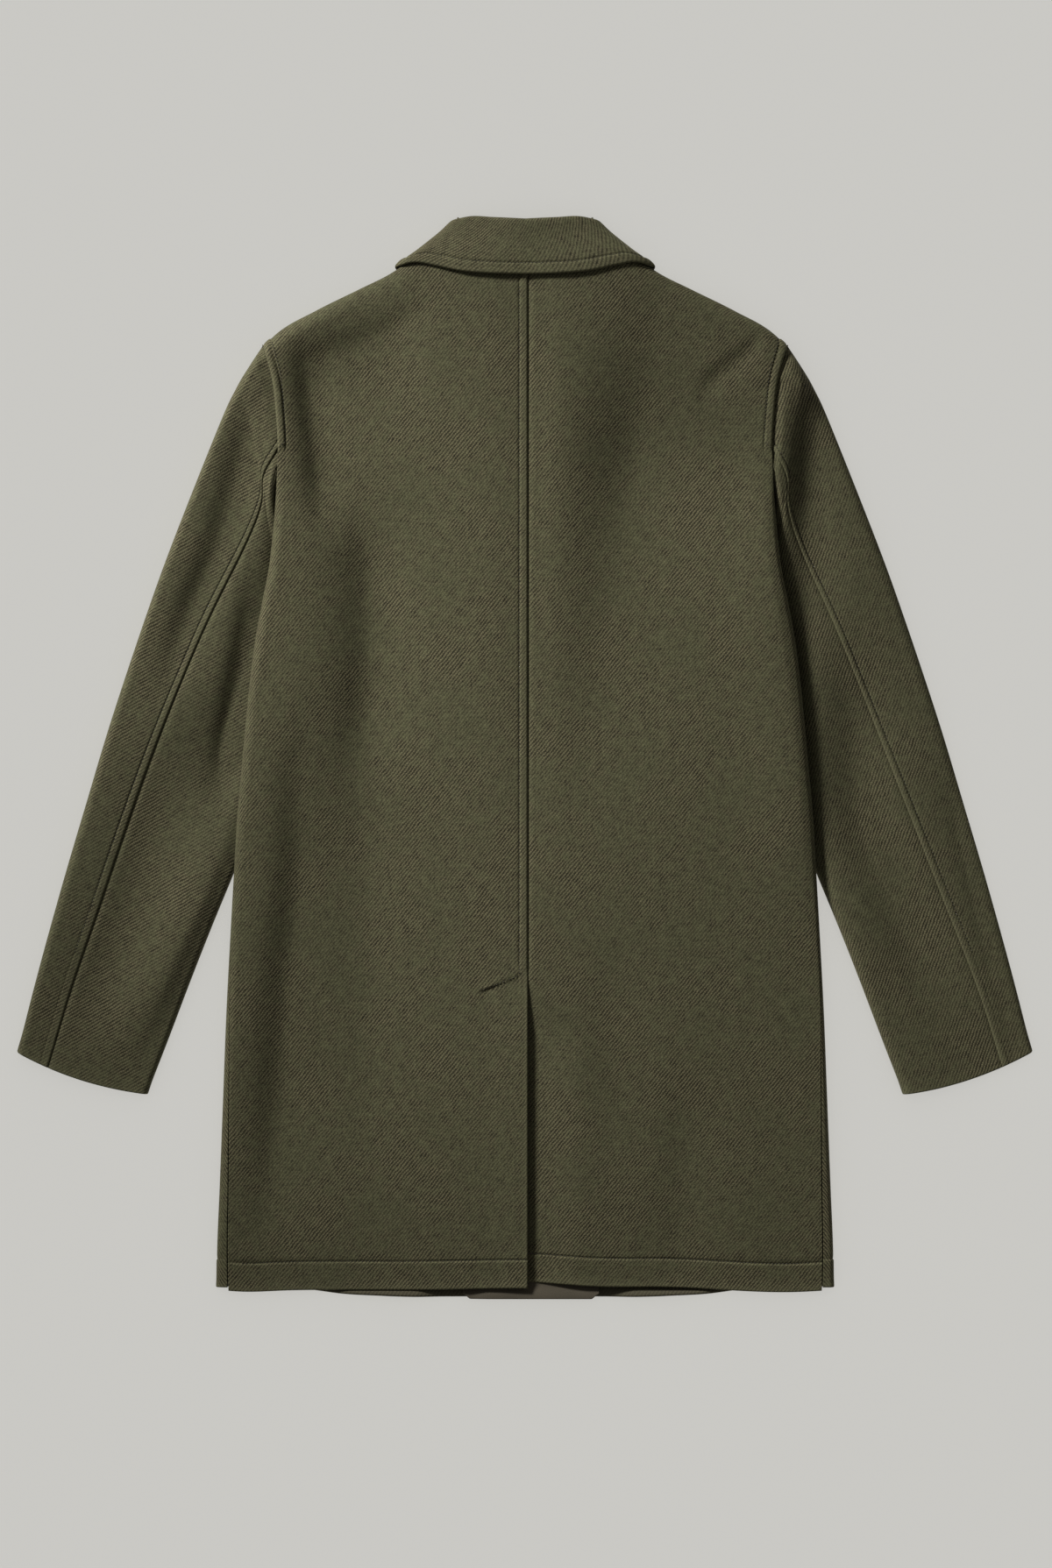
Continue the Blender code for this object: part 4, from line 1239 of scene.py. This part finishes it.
SLEEVE_RINGS = np.concatenate([[-1.0 - HEAD_TUCK], np.linspace(-1.0, 0.0, 12)[:-1],
                               np.linspace(0.0, LAST_RING - 0.1, 190)[:-1], LAST_RING - CUFF_RINGS[::-1]])
ELBOW_COLS = np.array(ladder(*FINE_EDGE, (0.0090, 0.0120, 0.0015)))
OVER_COLS = np.linspace(0.0, 1.0, 30)[1:]
ROUND_COLS = 1.0 + np.linspace(0.0, 1.0, 36)[1:]
ELBOW_LAP_COLS = np.linspace(-1.0, 0.0, 7)[:-1]
UNDER_COLS = np.concatenate([ELBOW_LAP_COLS, np.linspace(0.0, 1.0, 52)[:-1], np.linspace(1.0, 2.0, 16)])
SLEEVE_LEAN = (math.sin(math.radians(20.0)), math.cos(math.radians(20.0)))
HALF_RING = np.concatenate([np.linspace(0.0, 0.8, 50)[:-1], np.linspace(0.8, 1.25, 36)[:-1],
                            np.linspace(1.25, 1.97, 30)[:-1], np.array([1.97, 1.98, 1.99, 2.0])])
RING = np.concatenate([-HALF_RING[:0:-1], HALF_RING])
LEAF_FLAT = 0.036
LEAF_EDGE_ROWS = np.array(ladder((0.0, 0.0018, 0.0006), (0.0018, 0.0076, 0.0012), (0.0076, 0.0104, 0.0005),
                                 (0.0104, 0.0120, 0.0008)))
LEAF_ROWS = np.concatenate([np.linspace(-ROLL_TURN, ROLL_TURN, 15)[:-1],
                            np.linspace(ROLL_TURN, LEAF_FLAT, 11)[:-1], LEAF_LENGTH - LEAF_EDGE_ROWS[::-1]])
LEAF_GIRTH = 0.6
STAND_ROWS = np.linspace(0.0, 1.0, 16)
STAND_DEPTH = 0.035
STAND_WALL = 0.0016
FACING_COLS = np.array(ladder((0.0, 0.060, 0.005), (0.060, 0.940, 0.020), (0.940, 1.0, 0.005)))
FACING_ROWS = np.array(ladder((0.0, 0.04, 0.013), (0.04, 1.0, 0.06)))
FACING_WALL = 0.0015


def unfold(points, side, start, way):
    """Grain of a sleeve: along its length, and round its girth from one column."""
    axis = np.array([-side * SLEEVE_LEAN[0], SLEEVE_LEAN[1], 0.0])
    square = np.array([SLEEVE_LEAN[1], side * SLEEVE_LEAN[0], 0.0])
    step = np.diff(points, axis=1)
    rise = step @ axis
    girth = way * np.sqrt(np.maximum(np.sum(step * step, axis=-1) - rise * rise, 0.0))
    zero = np.zeros((len(points), 1))
    along = (points @ axis)[:, :1] + np.concatenate([zero, np.cumsum(rise, axis=1)], axis=1)
    round_it = np.concatenate([zero, np.cumsum(girth, axis=1)], axis=1)
    round_it = round_it - round_it[:, start:start + 1] + (points @ square)[:, start:start + 1]
    return np.stack([round_it, along], axis=-1)


def panel_width(flat, rows):
    """Width of a body panel in the flat, row by row."""
    zero = np.zeros_like(rows)
    return flat(zero + 1.0, rows)[0] - flat(zero, rows)[0]


def body_grid(flat, near, steps, row_steps, extra=()):
    """Stations over a body panel, at set distances from its edges."""
    rows = stations(SHOULDER_ROWS, row_steps, HEM_ROWS, BACK_LENGTH)
    v = np.sort(np.concatenate([rows, np.array(extra) / BACK_LENGTH]))
    u = stations(near, steps, SIDE_COLS, panel_width(flat, v))
    return u, np.broadcast_to(v[:, None], u.shape)


def elbow_column(seam, width, distance):
    """Column of a top sleeve at a distance from its edge at the elbow seam."""
    return 1.0 - turn_at(seam - distance / width) / turn_at(seam)


# The cuts of cloth
wool = wool_twill()
facing_cloth = facing_wool()
thread = tonal_thread_painted_shade()
cuts = {}
threads = {}


def cut(node, panel, u, v, grain, material):
    cuts[node] = panel.cloth("coat_" + node, u, v, grain, material)


def cut_body(node, panel, flat, u, v, side):
    across, along = flat(u, v)
    cut(node, panel, u, v, np.stack([side * across, along], axis=-1), wool)


def cut_backs():
    left = Panel(back_left, 1.0, back_left_sewing)
    u, v = body_grid(back_left_flat, CENTRE_COLS, LEFT_STEPS, BACK_ROW_STEPS, TACK_ROWS)
    cut_body("back_left", left, back_left_flat, u, v, -1.0)
    right = Panel(back_right, -1.0, back_right_sewing)
    u, v = body_grid(back_right_flat, PLAIN_COLS, RIGHT_STEPS, BACK_ROW_STEPS)
    u = np.concatenate([np.broadcast_to(LAP_COLS, (len(u), len(LAP_COLS))), u], axis=1)
    cut_body("back_right", right, back_right_flat, u, np.broadcast_to(v[:, :1], u.shape), 1.0)
    return left, right


def cut_fronts():
    u, v = body_grid(front_flat, PLAIN_COLS, FRONT_STEPS, FRONT_ROW_STEPS)
    for word, side in SIDES:
        front = Panel(front_surface(side), side, front_sewing)
        cut_body("front_" + word, front, front_flat, u, v, side)


def cut_sleeves():
    """Top and under sleeve of each side; the top ones are kept for their thread."""
    tops = {}
    rings = SLEEVE_RINGS[:, None]
    for word, side in SIDES:
        seam, width = sleeve_seam(rings, side)
        close = elbow_column(seam, width, ELBOW_COLS)
        rest = close[:, -1:] + (1.0 - close[:, -1:]) * OVER_COLS
        u = np.concatenate([close, rest, np.broadcast_to(ROUND_COLS, (len(rings), len(ROUND_COLS)))], axis=1)
        v = np.broadcast_to(rings, u.shape)
        top = Panel(sleeve_surface(side, False), -side, sleeve_top_sewing(side))
        cut("sleeve_top_" + word, top, u, v, unfold(top.surface(u, v), side, 0, side), wool)
        tops[word] = top
        u, v = np.meshgrid(UNDER_COLS, SLEEVE_RINGS)
        low = Panel(sleeve_surface(side, True), side, sleeve_under_sewing)
        grain = unfold(low.surface(u, v), side, len(ELBOW_LAP_COLS), -side)
        cut("sleeve_under_" + word, low, u, v, grain, wool)
    return tops


def cut_collar():
    line = leaf_surface(RING, np.zeros_like(RING) + LEAF_GIRTH * LEAF_LENGTH)
    girth = run_length(line)
    girth = girth - girth[len(girth) // 2]
    u, v = np.meshgrid(RING, LEAF_ROWS)
    leaf = Panel(leaf_surface, -1.0, leaf_sewing)
    cut("collar_leaf", leaf, u, v, np.stack([np.broadcast_to(girth, u.shape), -v], axis=-1), wool)
    u, v = np.meshgrid(RING[::2], STAND_ROWS)
    stand = Panel(stand_surface, -1.0, no_sewing, STAND_WALL)
    grain = np.stack([np.broadcast_to(girth[::2], u.shape), -STAND_DEPTH * v], axis=-1)
    cut("collar_stand", stand, u, v, grain, wool)
    return leaf


def cut_facing():
    u, v = np.meshgrid(FACING_COLS, FACING_ROWS)
    band = Panel(facing, -1.0, facing_sewing, FACING_WALL)
    cut("front_facing", band, u, v, facing(u, v)[..., :2], facing_cloth)


left_back, right_back = cut_backs()
cut_fronts()
top_sleeves = cut_sleeves()
collar_leaf = cut_collar()
cut_facing()


# Thread: places of its lines, as shares of a panel, and how many stations each has
CENTRE_START = 0.02
CENTRE_STATIONS = 400
HEM_ENDS = {"left": (0.004, 0.96), "right": (0.0, 0.96)}
LINE_STATIONS = 300
TACK_STATIONS = 20
TACK_GUESS = (0.1, 0.7)
TACK_ROUNDS = 12
HEM_ROUNDS = 4
ARMHOLE_START = 0.012
ARMHOLE_STATIONS = 120
ARMHOLE_END = 0.002
TURN_STATIONS = 12
TURN_END = 0.0005
ELBOW_THREAD = (0.1, 8.6)
COLLAR_THREAD = 1.95
COLLAR_STATIONS = 500


def back_line(flat, distance, from_side, rows):
    """Stations of a line at a set distance from a panel's inner or outer edge."""
    share = distance / panel_width(flat, rows)
    return (1.0 - share if from_side else share), rows


def hem_line(flat, hem, columns):
    """Stations of the stitching along a hem."""
    rows = np.zeros_like(columns) + 1.0 - HEM_DEPTH / BACK_LENGTH
    for _ in range(HEM_ROUNDS):
        across, along = flat(columns, rows)
        rise = hem_rise(hem, across, along, BACK_HEM_RIGHT[0][0])
        rows = rows + (rise - HEM_DEPTH) / BACK_LENGTH
    return columns, rows


def line_between(flat, ends):
    """Stations of a straight line over a back panel between two places in the flat."""
    share = np.linspace(0.0, 1.0, TACK_STATIONS)
    (x0, y0), (x1, y1) = ends
    u, v = (guess + 0.0 * share for guess in TACK_GUESS)
    for _ in range(TACK_ROUNDS):
        across, along = flat(u, v)
        u = u + (mix(x0, x1, share) - across) / panel_width(flat, v)
        v = v + (along - mix(y0, y1, share)) / BACK_LENGTH
    return u, v


def row_at(flat, y):
    """Row of a panel's side edge at this height in the flat."""
    top = flat(np.array(1.0), np.array(0.0))[1]
    low = flat(np.array(1.0), np.array(1.0))[1]
    return (top - y) / (top - low)


def armhole_lines(flat):
    """Stitching along the armhole welt, and its turn in to the edge at the underarm."""
    rows = np.linspace(ARMHOLE_START, row_at(flat, ARMHOLE_LOW + ARMHOLE_END), ARMHOLE_STATIONS)
    turn = np.linspace(WELT, TURN_END, TURN_STATIONS)
    return [back_line(flat, WELT, True, rows), back_line(flat, turn, True, np.zeros_like(turn) + rows[-1])]


def sew(node, name, panel, lines):
    threads[node] = stitches(name, [(panel,) + line for line in lines], thread)


neck_y, hem_y = BACK_NECK[0][1], BACK_HEM_LEFT[0][1]
closed_rows = np.linspace(CENTRE_START, (neck_y - VENT_TOP) / (neck_y - hem_y), CENTRE_STATIONS)
hem_columns = {word: np.linspace(*ends, LINE_STATIONS) for word, ends in HEM_ENDS.items()}
sew("back_left", "thread_back_left", left_back,
    [back_line(back_left_flat, CENTRE_WELT, False, closed_rows),
     hem_line(back_left_flat, BACK_HEM_LEFT, hem_columns["left"]),
     line_between(back_left_flat, [(-x, y) for x, y in TACK])] + armhole_lines(back_left_flat))
sew("back_right", "thread_back_right", right_back,
    [hem_line(back_right_flat, BACK_HEM_RIGHT, hem_columns["right"])] + armhole_lines(back_right_flat))
for word, side in SIDES:
    rings = np.linspace(*ELBOW_THREAD, LINE_STATIONS)
    seam, width = sleeve_seam(rings, side)
    sew("sleeve_top_" + word, "thread_sleeve_" + word, top_sleeves[word],
        [(elbow_column(seam, width, WELT), rings)])
arc = np.linspace(-COLLAR_THREAD, COLLAR_THREAD, COLLAR_STATIONS)
sew("collar_leaf", "thread_collar", collar_leaf, [(arc, np.zeros_like(arc) + LEAF_LENGTH - COLLAR_WELT)])

# What stands for what
for node, piece in cuts.items():
    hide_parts(node)

# Floor, light and camera
FLOOR_HALF = 16.0
FLOOR_CELLS = 8
FLOOR_DROP = 0.0012
ROOM_COLOUR = (1.0, 0.995, 0.98, 1.0)
ROOM_STRENGTH = 0.15
KEY_PLACE = (-2.07, 2.22, 1.49)
KEY_AIM = (0.06, -0.06, 0.0)
KEY_POWER = 780.0
KEY_CONE = math.radians(28.0)
KEY_SIZE = 0.40
FLOOR_LIGHT_PLACE = (-0.4, 0.4, 3.0)
FLOOR_LIGHT_POWER = 2.53
FLOOR_LIGHT_ANGLE = math.radians(60.0)
PX = 0.00077  # metres to a pixel of the picture
IMAGE = (1200, 1789)
MIDDLE_PIXEL = (599.0, 864.5)
CAMERA_HEIGHT = 4.0
LEVEL = 0.012
scene = bpy.context.scene


def lay_floor():
    """Wide plane just under the coat."""
    bm = bmesh.new()
    bmesh.ops.create_grid(bm, x_segments=FLOOR_CELLS, y_segments=FLOOR_CELLS, size=FLOOR_HALF)
    bmesh.ops.translate(bm, verts=bm.verts[:], vec=(0.0, 0.0, -FLOOR_DROP))
    mesh = bpy.data.meshes.new("floor")
    bm.to_mesh(mesh)
    bm.free()
    mesh.materials.append(pale_floor())
    made = bpy.data.objects.new("floor", mesh)
    scene.collection.objects.link(made)
    return made


def lamp(name, kind, place_at, energy, lights, aim=(0.0, 0.0, 0.0), **settings):
    """A lamp that lights only the coat or only the floor."""
    light = bpy.data.lights.new(name, kind)
    light.energy = energy
    for key, value in settings.items():
        setattr(light, key, value)
    stand_in = bpy.data.objects.new(name, light)
    stand_in.location = place_at
    stand_in.rotation_mode = "QUATERNION"
    stand_in.rotation_quaternion = (Vector(aim) - Vector(place_at)).to_track_quat("-Z", "Y")
    scene.collection.objects.link(stand_in)
    group = bpy.data.collections.new(name + "_lights")
    for item in lights:
        group.objects.link(item)
    stand_in.light_linking.receiver_collection = group


floor = lay_floor()
world = bpy.data.worlds.new("soft_room")
world.use_nodes = True
world.node_tree.nodes["Background"].inputs["Color"].default_value = ROOM_COLOUR
world.node_tree.nodes["Background"].inputs["Strength"].default_value = ROOM_STRENGTH
scene.world = world
lamp("key", "SPOT", KEY_PLACE, KEY_POWER, list(cuts.values()) + list(threads.values()), KEY_AIM,
     spot_size=KEY_CONE, spot_blend=1.0, shadow_soft_size=KEY_SIZE)
lamp("floor_light", "SUN", FLOOR_LIGHT_PLACE, FLOOR_LIGHT_POWER, [floor],
     angle=FLOOR_LIGHT_ANGLE, use_shadow=False)

view = bpy.data.cameras.new("camera")
view.lens = view.sensor_width * (CAMERA_HEIGHT - LEVEL) / (IMAGE[1] * PX)
camera = bpy.data.objects.new("camera", view)
camera.location = ((IMAGE[0] / 2.0 - MIDDLE_PIXEL[0]) * PX, (MIDDLE_PIXEL[1] - IMAGE[1] / 2.0) * PX,
                   CAMERA_HEIGHT)
scene.collection.objects.link(camera)
scene.camera = camera
scene.view_settings.view_transform = "Standard"
